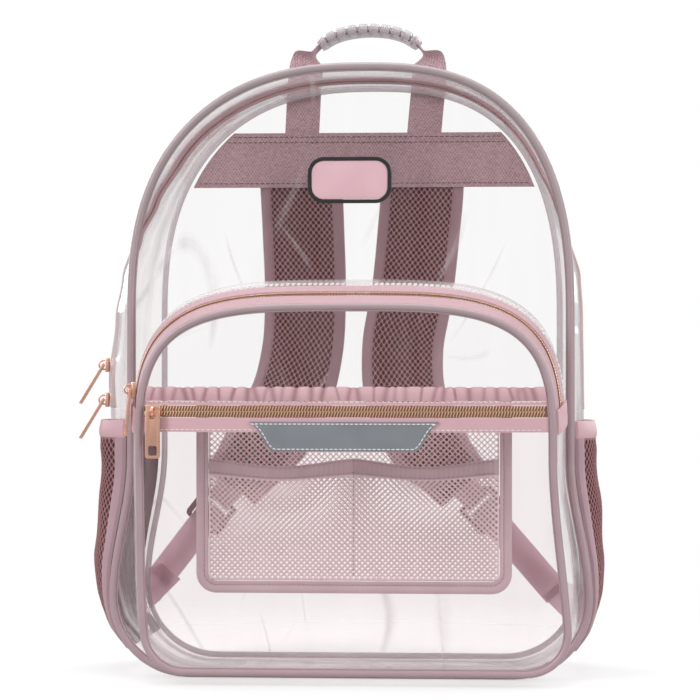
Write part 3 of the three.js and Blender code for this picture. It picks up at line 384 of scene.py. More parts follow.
def piping_look(name):
    """Satin vinyl over a cord, greyer towards the top of the bag."""
    look = Look(name)
    place = look.add("ShaderNodeTexCoord").outputs["Object"]
    height = look.add("ShaderNodeSeparateXYZ", {0: place}).outputs["Z"]
    grey = look.ramp(height, 0.16, 0.40)
    colour = look.mixed(grey, screen(164, 138, 144), screen(158, 144, 146))
    grain = look.noise(900.0, 3.0)
    worn = look.mixed(look.math("MULTIPLY", look.noise(60.0), 0.35), colour, screen(186, 166, 170))
    return look.finish(look.principled(
        Base_Color=worn, Roughness=0.38, Normal=look.bump(grain, 0.12),
        Coat_Weight=0.35, Coat_Roughness=0.22))


def woven(name, light, dark, pitch, depth, roughness=0.8, slub=0.5, thin=0.0):
    """Woven cloth: threads as bump and shade, with uneven slubs. thin is how much light it lets through."""
    look = Look(name)
    threads = look.weave(*pitch)
    uneven = look.ramp(look.noise(900.0, 3.0, (0.45, 1, 1.3)), 0.28, 0.72)
    shade = look.math("MULTIPLY_ADD", uneven, slub, look.math("MULTIPLY", threads, 1 - slub))
    patchy = look.noise(28.0)
    colour = look.mixed(shade, dark, light)
    faded = look.mixed(look.math("MULTIPLY", patchy, 0.25), colour, light)
    cloth = look.principled(
        Base_Color=faded, Roughness=roughness, Normal=look.bump(shade, depth),
        Sheen_Weight=0.25, Sheen_Roughness=0.5)
    return look.finish(look.thinned(cloth, faded, thin))


def tape_look(name, light, dark, gloss):
    """Smooth satin tape with fine ribs and faint wear."""
    look = Look(name)
    threads = look.weave(0.8, 0.8)
    clouds = look.noise(45.0, 3.0)
    shade = look.math("MULTIPLY_ADD", clouds, 0.6, look.math("MULTIPLY", threads, 0.4))
    colour = look.mixed(shade, dark, light)
    return look.finish(look.principled(
        Base_Color=colour, Roughness=gloss, Normal=look.bump(threads, 0.10),
        Coat_Weight=0.2, Coat_Roughness=0.35))


def air_mesh_look(name, strand, lit_strand, pit, thin=0.0):
    """Spacer mesh: pale knitted strands over pits painted dark as shade, by the depth kept with the mesh."""
    look = Look(name)
    deep = look.cloth()[2]
    fibres = look.noise(1500.0, 3.0)
    lit = look.mixed(fibres, strand, lit_strand)
    # Painted shade: darker the deeper the mesh lies, in its pits and on its back face.
    sharp = look.ramp(deep, 0.15, 0.65)
    colour = look.mixed(sharp, lit, pit)
    knit = look.principled(Base_Color=colour, Roughness=0.85, Normal=look.bump(fibres, 0.3), Sheen_Weight=0.3)
    return look.finish(look.thinned(knit, colour, thin))


def gather_look(name, light, dark, valley):
    """Satin tape whose folds are shaded by the value kept with the mesh."""
    look = Look(name)
    deep = look.cloth()[2]
    cloth = look.mixed(look.noise(60.0, 3.0), dark, light)
    colour = look.mixed(look.math("MULTIPLY", deep, 0.85), cloth, valley)
    return look.finish(look.principled(
        Base_Color=colour, Roughness=0.55, Normal=look.bump(look.noise(500.0, 3.0), 0.2)))


def metal_look(name, colour, roughness):
    """Plated metal with faint brushing and smudges."""
    look = Look(name)
    brushed = look.noise(500.0, 2.0, (1, 1, 0.08))
    smudged = look.noise(90.0, 3.0)
    rough = look.math("MULTIPLY_ADD", smudged, 0.16, roughness - 0.06)
    tone = look.mixed(look.math("MULTIPLY", smudged, 0.4), colour, screen(246, 196, 172))
    return look.finish(look.principled(
        Base_Color=tone, Metallic=1.0, Roughness=rough, Normal=look.bump(brushed, 0.02)))


def plain_look(name, light, dark, roughness, grain=700.0, depth=0.05, scale=60.0):
    """Moulded plastic, rubber or thread: one tone with fine grain."""
    look = Look(name)
    clouds = look.noise(scale, 2.0)
    colour = look.mixed(clouds, dark, light)
    return look.finish(look.principled(
        Base_Color=colour, Roughness=roughness, Normal=look.bump(look.noise(grain, 2.0), depth)))


def grip_look(name):
    """Clear soft plastic, milky where it is thick, with painted shade in its slots."""
    look = Look(name)
    painted_slot_shade = look.ramp(look.cloth()[2], 0.35, 0.75)
    facing = look.add("ShaderNodeLayerWeight", {"Blend": 0.5}).outputs["Facing"]
    milk = look.math("MULTIPLY_ADD", look.math("POWER", facing, 1.6), 0.45, 0.5)
    cover = look.math("ADD", milk, painted_slot_shade, clamp=True)
    pale = look.mixed(look.noise(120.0), screen(200, 190, 194), screen(226, 219, 222))
    milky = look.mixed(painted_slot_shade, pale, screen(112, 100, 106))
    solid = look.principled(Base_Color=milky, Roughness=0.16, IOR=1.5,
                            Coat_Weight=0.5, Coat_Roughness=0.08)
    clear = look.add("ShaderNodeBsdfTransparent", {"Color": screen(240, 236, 238)})
    return look.finish(look.add("ShaderNodeMixShader", {0: cover, 1: clear.outputs[0], 2: solid.outputs[0]}))


def patch_look(name):
    """Grey reflective film with a fine bead grid."""
    look = Look(name)
    beads = look.weave(0.7, 0.7)
    clouds = look.noise(35.0, 2.0)
    colour = look.mixed(clouds, screen(122, 126, 132), screen(146, 150, 155))
    return look.finish(look.principled(
        Base_Color=colour, Metallic=0.35, Roughness=0.42, Normal=look.bump(beads, 0.05)))


def floor_look():
    """Pale floor that fades into the white of the room."""
    look = Look("floor")
    place = look.add("ShaderNodeTexCoord").outputs["Object"]
    length = look.add("ShaderNodeVectorMath", {0: place}, operation="LENGTH").outputs["Value"]
    cover = look.ramp(length, 0.55, 0.18, 0.0, 0.5)
    pale = look.principled(Base_Color=(0.9, 0.9, 0.9, 1), Roughness=0.7)
    clear = look.add("ShaderNodeBsdfTransparent")
    return look.finish(look.add("ShaderNodeMixShader", {0: cover, 1: clear.outputs[0], 2: pale.outputs[0]}))


PANEL = clear_vinyl("clear_vinyl_panel", (0.99, 0.988, 0.988, 1), 0.012)
LOW_PANEL = clear_vinyl("clear_vinyl_low_panel", (0.972, 0.948, 0.95, 1), 0.014, painted_crease_cover=0.0)
# Side walls: more painted reflection, with lighter grey and white tones and full cover where they turn away.
GUSSET = clear_vinyl("clear_vinyl_gusset", (0.985, 0.977, 0.978, 1), 0.02, 0.5,
                     (60.0, (0.08, 1, 0.08)), 1.0, 1.9, 0.3,
                     (screen(196, 184, 188), screen(255, 252, 252)))
PIPING = piping_look("mauve_piping")
TAPE_LOOK = tape_look("pink_tape", screen(216, 178, 184), screen(196, 154, 161), 0.55)
GATHER_LOOK = gather_look(
    "gathered_tape", screen(214, 176, 181), screen(194, 154, 160), screen(146, 102, 109))
ZIP_TAPE = woven("zip_tape", screen(202, 168, 174), screen(170, 132, 140), (0.9, 0.9), 0.15, 0.75)
# Dark copper under the coils: painted shade seen between the teeth.
ZIP_GAP_SHADE = tape_look("zip_gap_shade", screen(150, 102, 86), screen(112, 72, 60), 0.8)
WEBBING_LOOK = woven("mauve_webbing", screen(216, 184, 190), screen(124, 90, 97), (1.1, 1.7), 0.4)
# A much paler copy of the mauve webbing for the lower webbing and anchor tabs: painted light that lifts them
# out of their shade behind the vinyl.
PAINTED_LIT_WEBBING = woven(
    "painted_lit_webbing", screen(244, 230, 234), screen(220, 200, 206), (1.1, 1.7), 0.3, thin=0.8)
PAD_CLOTH = woven("mauve_pad_cloth", screen(176, 140, 146), screen(136, 102, 108), (0.8, 0.8), 0.15)
BINDING_LOOK = tape_look("mauve_binding", screen(184, 152, 160), screen(158, 126, 134), 0.6)
ORGANIZER_TAPE = tape_look("organizer_tape", screen(214, 194, 199), screen(190, 166, 172), 0.6)
# The third colour of each air mesh is the painted shade in its pits and on its back face.
STRAP_MESH = air_mesh_look("strap_mesh", screen(176, 122, 123), screen(210, 162, 161), screen(82, 40, 45))
SIDE_MESH = air_mesh_look(
    "side_mesh", screen(204, 146, 149), screen(230, 182, 184), screen(112, 56, 62), 0.55)
NET_LOOK = woven("mauve_net", screen(244, 228, 229), screen(222, 198, 200), (0.5, 0.5), 0.12)
ROSE_GOLD = metal_look("rose_gold", screen(244, 190, 165), 0.26)
TEETH = metal_look("rose_gold_teeth", screen(255, 224, 184), 0.28)
MAUVE_TEETH = metal_look("mauve_gold_teeth", screen(196, 148, 142), 0.4)
GRIP = grip_look("clear_grip")
PATCH_LOOK = patch_look("grey_patch")
RUBBER = plain_look("black_rubber", screen(38, 35, 38), screen(24, 22, 24), 0.5)
INLAY = plain_look("pink_inlay", screen(226, 186, 194), screen(214, 172, 181), 0.5, 900.0, 0.08)
PLASTIC = plain_look("mauve_plastic", screen(150, 118, 123), screen(132, 102, 107), 0.42)
WHITE_THREAD = plain_look("white_thread", screen(250, 244, 244), screen(232, 222, 223), 0.75)
DARK_THREAD = plain_look("dark_thread", screen(120, 84, 92), screen(96, 64, 72), 0.8)
MAUVE_THREAD = plain_look("mauve_thread", screen(196, 160, 165), screen(170, 134, 140), 0.8)


# Meshes


def volume_of(points, faces):
    """Six times the volume that the faces close, from a fan on each face."""
    total = 0.0
    for group in faces:
        first = points[group[:, 0]]
        for j in range(1, group.shape[1] - 1):
            b, c = points[group[:, j]], points[group[:, j + 1]]
            total += float((first * np.cross(b, c)).sum())
    return total


def piece(name, points, faces, look, replaces=(), cloth=None, body="bag", crease=40.0):
    """Makes a closed mesh from points in mm and arrays of faces, and puts it on its body."""
    faces = [np.asarray(group) for group in faces if len(group)]
    points = np.asarray(points, float)
    if volume_of(points, faces) < 0:
        faces = [group[:, ::-1] for group in faces]
    mesh = bpy.data.meshes.new(name)
    mesh.from_pydata((points * MM).tolist(), [], [f for group in faces for f in group.tolist()])
    mesh.polygons.foreach_set("use_smooth", [True] * len(mesh.polygons))
    mesh.set_sharp_from_angle(angle=math.radians(crease))
    if cloth is not None:
        rows = np.zeros((len(points), 3), np.float32)
        rows[:, :cloth.shape[1]] = cloth
        mesh.attributes.new("cloth", "FLOAT_VECTOR", "POINT").data.foreach_set("vector", rows.ravel())
    mesh.materials.append(look)
    made = bpy.data.objects.new(name, mesh)
    bpy.context.scene.collection.objects.link(made)
    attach(made, body)
    if replaces:
        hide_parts(*replaces)
    return made


def closed_sheet(outer, inner, ring=False):
    """A thick sheet between two grids of points. With ring set, the rows close on themselves."""
    rows, columns = outer.shape[:2]
    count = rows * columns
    index = np.arange(count).reshape(rows, columns)
    if ring:
        index = np.vstack([index, index[:1]])
    corners = (index[:-1, :-1], index[1:, :-1], index[1:, 1:], index[:-1, 1:])
    front = np.stack(corners, -1).reshape(-1, 4)
    rims = [index[:, 0], index[::-1, -1]]
    if not ring:
        rims += [index[0, ::-1], index[-1]]
    rim = np.vstack([
        np.stack([edge[:-1], edge[:-1] + count, edge[1:] + count, edge[1:]], -1) for edge in rims])
    points = np.vstack([outer.reshape(-1, 3), inner.reshape(-1, 3)])
    return points, [front, front[:, ::-1] + count, rim]


def section_tube(sections, ring=False):
    """A tube through an array of sections of points, capped at both ends or closed in a ring."""
    count, sides = sections.shape[:2]
    index = np.arange(count * sides).reshape(count, sides)
    index = np.hstack([index, index[:, :1]])
    caps = []
    if ring:
        index = np.vstack([index, index[:1]])
    else:
        caps = [index[:1, :-1], index[-1:, -2::-1]]
    corners = (index[:-1, :-1], index[1:, :-1], index[1:, 1:], index[:-1, 1:])
    walls = np.stack(corners, -1).reshape(-1, 4)
    return sections.reshape(-1, 3), [walls[:, ::-1], *caps] if not ring else [walls]


def disc_sheet(boundary, centre, sizes, front, rear):
    """A sheet inside a closed line of (x, z) points, as rings that shrink to its centre.

    front and rear give y at an x and z."""
    flat = centre + (boundary[None] - centre) * np.asarray(sizes)[:, None, None]
    rings, count = flat.shape[:2]
    flat = np.vstack([flat.reshape(-1, 2), [centre]])
    layer = len(flat)
    index = np.arange(rings * count).reshape(rings, count)
    index = np.hstack([index, index[:, :1]])
    corners = (index[:-1, :-1], index[:-1, 1:], index[1:, 1:], index[1:, :-1])
    quads = np.stack(corners, -1).reshape(-1, 4)
    last = index[-1]
    fan = np.stack([last[:-1], last[1:], np.full(count, layer - 1)], -1)
    edge = index[0]
    rim = np.stack([edge[:-1], edge[:-1] + layer, edge[1:] + layer, edge[1:]], -1)
    x, z = flat.T
    points = np.vstack([np.stack([x, surface(x, z), z], -1) for surface in (front, rear)])
    return points, [quads, quads[:, ::-1] + layer, fan, fan[:, ::-1] + layer, rim]


def scattered(unit, unit_faces, origins, frames):
    """Copies of one small shape, each at an origin and turned to a frame of three axes."""
    points = origins[:, None, :] + np.einsum("pk,nkc->npc", unit, frames)
    starts = np.arange(len(origins)) * len(unit)
    faces = [(group[None] + starts[:, None, None]).reshape(-1, group.shape[1]) for group in unit_faces]
    return points.reshape(-1, 3), faces


def joined(*shapes):
    """Several (points, faces) as one."""
    points, faces, start = [], [], 0
    for some, groups in shapes:
        points.append(some)
        faces += [np.asarray(group) + start for group in groups if len(group)]
        start += len(some)
    return np.vstack(points), faces


def smooth(share):
    return (1 - np.cos(np.pi * share)) / 2


def mix(a, b, share):
    return a + (b - a) * share


def unit_rows(vectors):
    return vectors / np.maximum(np.linalg.norm(vectors, axis=-1, keepdims=True), 1e-9)


def wrinkles(seed, count, area, length, width, height, heading, spread):
    """Soft creases scattered over an area (u0, v0, u1, v1): gives lift in mm at cloth points."""
    draw = random.Random(seed)
    rows = [(
        draw.uniform(area[0], area[2]), draw.uniform(area[1], area[3]),
        length * draw.uniform(0.6, 1.5), width * draw.uniform(0.7, 1.4),
        height * draw.uniform(-1.0, 1.0), math.radians(heading + draw.uniform(-spread, spread)),
    ) for _ in range(count)]

    def lift(u, v):
        total = 0.0
        for u0, v0, long, wide, tall, turn in rows:
            along = (u - u0) * math.cos(turn) + (v - v0) * math.sin(turn)
            aside = (v - v0) * math.cos(turn) - (u - u0) * math.sin(turn)
            total = total + tall * np.exp(-(along / long) ** 2 - (aside / wide) ** 2)
        return total

    return lift


# Outlines and walls


class Outline:
    """A closed arched outline read by share of its way round, from the middle of the base to the
    right, up and over. The share counts turning as well as length. lean moves its middle to the
    right by height."""

    TURNING_WEIGHT = 60.0

    def __init__(self, half_width, base_width, spring, top, base, corner, power, waist, lean):
        self.lean = lean
        flat = np.linspace(0, base_width - corner, 9)
        bend = np.linspace(0, np.pi / 2, 13)[1:]
        rise = np.linspace(0, 1, 25)[1:]
        arch = np.linspace(0, np.pi / 2, 61)[1:]
        right = np.vstack([
            np.stack([flat, np.full(9, base)], -1),
            np.stack([base_width - corner + corner * np.sin(bend),
                      base + corner - corner * np.cos(bend)], -1),
            np.stack([mix(base_width, half_width, smooth(np.minimum(rise / waist, 1))),
                      mix(base + corner, spring, rise)], -1),
            np.stack([half_width * np.maximum(np.cos(arch), 0) ** (2 / power),
                      spring + (top - spring) * np.sin(arch) ** (2 / power)], -1),
        ])
        points = np.vstack([right, right[-2:0:-1] * (-1, 1)])
        ahead = np.roll(points, -1, 0) - np.roll(points, 1, 0)
        heading = np.arctan2(ahead[:, 1], ahead[:, 0])
        change = np.roll(heading, -1) - heading
        turn = np.arctan2(np.sin(change), np.cos(change))
        step = np.linalg.norm(np.roll(points, -1, 0) - points, axis=1)
        marks = np.concatenate([[0], np.cumsum(step + self.TURNING_WEIGHT * np.abs(turn))])
        self.share = marks / marks[-1]
        self.points = np.vstack([points, points[:1]])
        self.heading = heading[0] + np.concatenate([[0], np.cumsum(turn)])
        self.right = len(right)

    def at(self, share):
        share = np.asarray(share, float) % 1
        x = np.interp(share, self.share, self.points[:, 0])
        z = np.interp(share, self.share, self.points[:, 1])
        heading = np.interp(share, self.share, self.heading)
        return x + self.lean(z), z, np.sin(heading), -np.cos(heading)

    def inset(self, share, distance):
        x, z, nx, nz = self.at(share)
        return np.stack([x - nx * distance, z - nz * distance], -1)

    def share_at(self, height):
        """Where the right side passes a height. The left side passes it at one less this."""
        return np.interp(height, self.points[:self.right, 1], self.share[:self.right])

    def half_width_at(self, height):
        return self.at(self.share_at(height))[0] - self.lean(height)


def body_lean(z):
    return ARCH_LEAN * np.clip((z - SPRING_HEIGHT) / (BODY_TOP - SPRING_HEIGHT), 0, 1) ** 3


def pocket_lean(z):
    straight = POCKET_BASE + POCKET_CORNER
    return POCKET_LEAN * np.clip((POCKET_SPRING - z) / (POCKET_SPRING - straight), 0, 1) ** 1.3


BODY_FRONT = Outline(BODY_HALF_WIDTH, BASE_HALF_WIDTH, SPRING_HEIGHT, BODY_TOP, BODY_BASE,
                     BODY_CORNER, ARCH_POWER, WAIST_SHARE, body_lean)
BODY_BACK = Outline(BACK_HALF_WIDTH, BACK_BASE_HALF_WIDTH, SPRING_HEIGHT, BACK_TOP, BODY_BASE,
                    BODY_CORNER, ARCH_POWER, WAIST_SHARE, body_lean)
POCKET_FRONT = Outline(POCKET_HALF_WIDTH, POCKET_BASE_HALF_WIDTH, POCKET_SPRING, POCKET_TOP,
                       POCKET_BASE, POCKET_CORNER, POCKET_POWER, 1.0, pocket_lean)
POCKET_REAR = Outline(POCKET_REAR_HALF_WIDTH, POCKET_REAR_BASE_HALF_WIDTH, POCKET_SPRING,
                      POCKET_REAR_TOP, POCKET_BASE, POCKET_REAR_CORNER, POCKET_POWER, 1.0, pocket_lean)

# How far each side wall stands out at each share of the body's height, as shares of its bulge
BULGE_ROWS = np.array([
    # height, left, right
    (0.0, 0.04, 0.04),
    (0.05, 0.15, 0.06),
    (0.095, 0.31, 0.07),
    (0.195, 0.58, 0.19),
    (0.295, 0.77, 0.4),
    (0.415, 0.94, 0.48),
    (0.485, 1.0, 0.46),
    (0.59, 0.81, 0.44),
    (0.655, 0.63, 0.4),
    (0.72, 0.37, 0.2),
    (0.78, 0.15, 0.03),
    (0.85, 0.0, -0.08),
    (1.0, -0.12, -0.12),
])

# How far a side pocket stands out over its own height, as shares of its stand
STAND_ROWS = np.array([
    (0.0, 0.15), (0.1, 0.61), (0.25, 0.87), (0.4, 1.0), (0.65, 0.98), (0.85, 0.9), (0.93, 0.75), (1.0, 0.6),
])


def read_rows(rows, column, height):
    """One column of a table by its first, with soft steps between its rows."""
    share = np.clip(height, 0, 1)
    heights, values = rows[:, 0], rows[:, column]
    i = np.clip(np.searchsorted(heights, share), 1, len(heights) - 1)
    part = (share - heights[i - 1]) / (heights[i] - heights[i - 1])
    return mix(values[i - 1], values[i], smooth(part))


def bulge_at(x, height):
    rightness = np.clip(0.5 + x / BODY_HALF_WIDTH, 0, 1)
    share = height / BODY_TOP
    return SIDE_BULGE * mix(read_rows(BULGE_ROWS, 1, share), read_rows(BULGE_ROWS, 2, share), rightness)


def between(front, rear, share, across):
    """The point and outward direction part of the way from one outline to another."""
    x, z, nx, nz = (mix(a, b, across) for a, b in zip(front.at(share), rear.at(share)))
    length = np.hypot(nx, nz)
    return x, z, nx / length, nz / length


def body_wall(share, y, out=0.0):
    """A point of the body's side wall: share round the outline, y, and distance out."""
    share, y, out = np.broadcast_arrays(np.asarray(share, float), y, out)
    across = (y - FRONT_Y) / BODY_DEPTH
    x, z, nx, nz = between(BODY_FRONT, BODY_BACK, share, across)
    flatness = np.clip(1 - (z - BODY_BASE) / BODY_CORNER, 0, 1)
    edge = np.maximum(np.abs(2 * across - 1) - 0.8, 0) / 0.2
    base_sag = (BODY_BASE - VINYL / 2) * (1 - edge ** 2)
    bow = mix(bulge_at(x, z) * 4 * across * (1 - across), base_sag, flatness ** 2)
    return np.stack([x + nx * (bow + out), y, z + nz * (bow + out)], -1)


def pocket_wall(share, y, out=0.0):
    share, y, out = np.broadcast_arrays(np.asarray(share, float), y, out)
    across = (y - POCKET_Y) / POCKET_DEPTH
    x, z, nx, nz = between(POCKET_FRONT, POCKET_REAR, share, across)
    lift = np.clip((z - POCKET_BASE) / POCKET_CORNER, 0, 1)
    bow = POCKET_BULGE * lift * 4 * across * (1 - across)
    return np.stack([x + nx * (bow + out), y, z + nz * (bow + out)], -1)


POCKET_MIDDLE = (POCKET_TOP + POCKET_BASE) / 2
EDGE_POINTS = POCKET_FRONT.inset(np.linspace(0, 1, 361)[:-1], POCKET_PIPING_RADIUS + GAP)
EDGE_TURNS = np.arctan2(EDGE_POINTS[:, 1] - POCKET_MIDDLE, EDGE_POINTS[:, 0])
EDGE_RADII = np.hypot(EDGE_POINTS[:, 0], EDGE_POINTS[:, 1] - POCKET_MIDDLE)
EDGE_ORDER = np.argsort(EDGE_TURNS)


def dome(x, z):
    """y of the pocket front's middle surface, a shallow dome."""
    turn = np.arctan2(z - POCKET_MIDDLE, x)
    radius = np.interp(turn, EDGE_TURNS[EDGE_ORDER], EDGE_RADII[EDGE_ORDER], period=TAU)
    size = np.clip(np.hypot(x, z - POCKET_MIDDLE) / radius, 0, 1)
    return POCKET_Y - POCKET_DOME * (1 - size ** 2.5)


def wall_sheet(wall, shares, stations, thickness, lift=None, base=0.0):
    """A closed strip of a wall, with creases from lift and its cloth coordinates."""
    share, y = np.meshgrid(shares, stations, indexing="ij")
    middle = wall(share, y)
    steps = np.linalg.norm(np.diff(middle, axis=0), axis=-1).mean(axis=1)
    u = np.concatenate([[0], np.cumsum(steps)])[:, None] + 0 * y
    offset = base + (lift(u, y) if lift else 0.0)
    points, faces = closed_sheet(wall(share, y, offset + thickness / 2),
                                 wall(share, y, offset - thickness / 2))
    cloth = np.stack([u.ravel(), y.ravel()], -1)
    return points, faces, np.vstack([cloth, cloth])


def ring_tube(outline, y, profile, steps):
    """A ring along an outline whose section is (out, back) points."""
    x, z, nx, nz = outline.at(np.linspace(0, 1, steps + 1)[:-1])
    out, back = np.asarray(profile).T
    sections = np.stack([
        x[:, None] + nx[:, None] * out,
        np.full((steps, len(out)), y) + back,
        z[:, None] + nz[:, None] * out,
    ], -1)
    return section_tube(sections, ring=True)


def round_profile(radius, sides, out=0.0, back=0.0):
    turn = np.linspace(0, TAU, sides + 1)[:-1]
    return np.stack([out + radius * np.cos(turn), back + radius * np.sin(turn)], -1)


def ring_sizes(rim, hub, rings):
    """Sizes of a sheet's rings: close together down to the rim's size, then wider down to the hub's."""
    return np.concatenate([np.linspace(1, rim, 9)[:-1], np.linspace(rim, hub, rings)])


def crowned(share, edge):
    """A rounded rise across a band, flat over the edge share at each side."""
    return np.sin(np.pi * np.clip(share, edge, 1 - edge)) ** 0.5


def pinned(creases, low, high):
    """Creases across a strip that fade to nothing at its low and high edge."""
    def lift(u, y):
        across = (y - low) / (high - low)
        return creases(u, y) * np.clip(4 * across * (1 - across), 0, 1)

    return lift


# Main body


def add_panels():
    shares = np.linspace(0, 1, 201)[:-1]
    sizes = ring_sizes(0.9, 0.06, 27)
    centre = np.array([0.0, BODY_TOP / 2])
    settings = [
        ("front_panel", BODY_FRONT, FRONT_Y, PIPING_RADIUS + GAP, 3),
        ("back_panel", BODY_BACK, BACK_Y, BINDING_RADIUS + GAP, 4),
    ]
    for node, outline, y, edge, seed in settings:
        boundary = outline.inset(shares, edge)
        radius = np.hypot(*(boundary - centre).T)
        turns = np.arctan2(boundary[:, 1] - centre[1], boundary[:, 0])
        order = np.argsort(turns)
        creases = wrinkles(seed, 26, (-130, 30, 130, 410), 42.0, 6.0, 0.5, 70, 50)

        def surface(x, z, shift, y=y, radius=radius, turns=turns, order=order, creases=creases):
            turn = np.arctan2(z - centre[1], x)
            reach = np.interp(turn, turns[order], radius[order], period=TAU)
            size = np.clip(np.hypot(x, z - centre[1]) / reach, 0, 1)
            pucker = 0.35 * np.sin(turn * 46 + 2 * np.sin(turn * 5)) * size ** 12 * (1 - size) * 8
            return y + shift + (creases(x, z) + pucker) * (1 - size ** 6)

        points, faces = disc_sheet(
            boundary, centre, sizes,
            lambda x, z, s=surface: s(x, z, -VINYL / 2), lambda x, z, s=surface: s(x, z, VINYL / 2))
        piece(f"{node}_film", points, faces, PANEL, [node])


def add_piping():
    """Corded welts: a round cord with a thin lip along one side."""
    for node, outline, y, radius in (
            ("main_piping", BODY_FRONT, FRONT_Y, PIPING_RADIUS),
            ("pocket_piping", POCKET_FRONT, POCKET_Y, POCKET_PIPING_RADIUS)):
        cord = ring_tube(outline, y, round_profile(radius, 16), 300)
        lip = ring_tube(outline, y, round_profile(0.55, 6, -radius - 0.1, -0.8), 300)
        points, faces = joined(cord, lip)
        piece(f"{node}_welt", points, faces, PIPING, [node], crease=60)
    points, faces = ring_tube(BODY_BACK, BACK_Y, round_profile(BINDING_RADIUS, 12), 260)
    piece("back_binding_welt", points, faces, GRIP, ["back_binding"])


def arch_shares(outline, end_height, steps):
    start = outline.share_at(end_height)
    return np.linspace(start, 1 - start, steps + 1)


ZIP_START = FRONT_Y + ZIP_FRONT
MAIN_COIL = ZIP_START + ZIP_TAPE_WIDTH
MAIN_COIL_END = MAIN_COIL + COIL_WIDTH
ZIP_END = MAIN_COIL_END + ZIP_TAPE_WIDTH


def add_gussets():
    shares = arch_shares(BODY_FRONT, ZIP_END_HEIGHT, 240)
    front = FRONT_Y + PIPING_RADIUS + GAP
    back = BACK_Y - BINDING_RADIUS - GAP
    crumple = wrinkles(11, 120, (0, front, 700, back), 14.0, 2.6, 0.9, 90, 35)
    for node, low, high, columns in (("gusset_front_strip", front, ZIP_START - GAP, 16),
                                     ("gusset_back_strip", ZIP_END, back, 20)):
        stations = np.linspace(low, high, columns + 1)
        points, faces, cloth = wall_sheet(body_wall, shares, stations, VINYL, pinned(crumple, low, high))
        piece(f"{node}_film", points, faces, GUSSET, [node], cloth)
    start = BODY_FRONT.share_at(ZIP_END_HEIGHT - GAP)
    folds = wrinkles(12, 60, (0, front, 720, back), 22.0, 4.0, 0.8, 90, 30)
    points, faces, cloth = wall_sheet(
        body_wall, np.linspace(-start, start, 240), np.linspace(front, back, 37), VINYL,
        pinned(folds, front, back))
    floor = points[:, 2] < VINYL / 4
    points[floor, 2] = np.maximum(points[floor, 2], 0.0)
    piece("lower_gusset_film", points, faces, GUSSET, ["lower_gusset"], cloth)


# Zips


def tooth_shape(length, width, height):
    """One half of a coil turn: a rounded bar that lies along the second axis from 0 to length."""
    stations = [(0.0, 0.72), (0.18, 1.0), (0.8, 1.0), (1.0, 0.6)]
    turn = np.linspace(0, TAU, 7)[:-1]
    sections = np.array([
        [(width / 2 * size * math.cos(t), length * share, height / 2 * size * math.sin(t)) for t in turn]
        for share, size in stations])
    return section_tube(sections)


def zip_coil(node, centres, across, normals, width, look, height=2.3):
    """Two rows of slanted teeth that meet along a line, over a dark sheet painted as the shade between them.
    """
    along = unit_rows(np.gradient(centres, axis=0))
    length = np.concatenate([[0], np.cumsum(np.linalg.norm(np.diff(centres, axis=0), axis=1))])
    slant = math.radians(18)
    overlap = 0.3
    shapes = []
    unit, unit_faces = tooth_shape(width / 2 + overlap, TOOTH_WIDTH, height)
    for side in (-1, 1):
        first = TOOTH_PITCH * (1.0 if side > 0 else 0.5)
        marks = np.arange(first, length[-1] - TOOTH_PITCH, TOOTH_PITCH)

        def read(rows, marks=marks):
            return np.stack([np.interp(marks, length, rows[:, k]) for k in range(3)], -1)

        t, n, a = (unit_rows(read(rows)) for rows in (along, normals, across))
        bar = side * (a * math.cos(slant) + t * math.sin(slant))
        beside = t * math.cos(slant) - a * math.sin(slant)
        axes = np.stack([beside, bar, n], 1)
        shapes.append(scattered(unit, unit_faces, read(centres) - bar * overlap, axes))
    points, faces = joined(*shapes)
    piece(f"{node}_teeth", points, faces, look, [node], crease=50)
    # A dark sheet under the teeth: painted shade in the gaps between them.
    flat = np.stack([centres - across * width * 0.5, centres + across * width * 0.5], 1)
    lift = normals[:, None] * 0.45
    points, faces = closed_sheet(flat + lift, flat - lift)
    piece(f"{node}_gap_shade", points, faces, ZIP_GAP_SHADE)


def wall_coil(node, wall, shares, y, look):
    centres = wall(shares, y)
    outward = unit_rows(wall(shares, y, 1.0) - centres)
    along = unit_rows(np.gradient(centres, axis=0))
    across = unit_rows(np.cross(outward, along))
    normals = np.cross(along, across)
    zip_coil(node, centres, across, normals, COIL_WIDTH - GAP, look)


def tape_sheet(node, wall, shares, low, high):
    """Zip tape beside the coil, as woven cloth."""
    stations = np.linspace(low, high - GAP, 9)
    points, faces, cloth = wall_sheet(wall, shares, stations, TAPE)
    made = piece(f"{node}_cloth", points, faces, ZIP_TAPE, [node], cloth)
    length = float(np.linalg.norm(np.diff(wall(shares, stations[4]), axis=0), axis=1).sum())


def add_main_zip():
    shares = arch_shares(BODY_FRONT, ZIP_END_HEIGHT, 200)
    tape_sheet("main_zip_tape_front", body_wall, shares, ZIP_START, MAIN_COIL)
    tape_sheet("main_zip_tape_back", body_wall, shares, MAIN_COIL_END, ZIP_END)
    wall_coil("main_zip_coil", body_wall, arch_shares(BODY_FRONT, ZIP_END_HEIGHT, 500),
              MAIN_COIL + COIL_WIDTH / 2 - GAP / 2, MAUVE_TEETH)


POCKET_START = POCKET_Y + POCKET_PIPING_RADIUS + GAP
POCKET_COIL = POCKET_START + POCKET_TAPE_WIDTH
POCKET_COIL_END = POCKET_COIL + COIL_WIDTH
POCKET_TAPE_END = POCKET_COIL_END + POCKET_TAPE_WIDTH


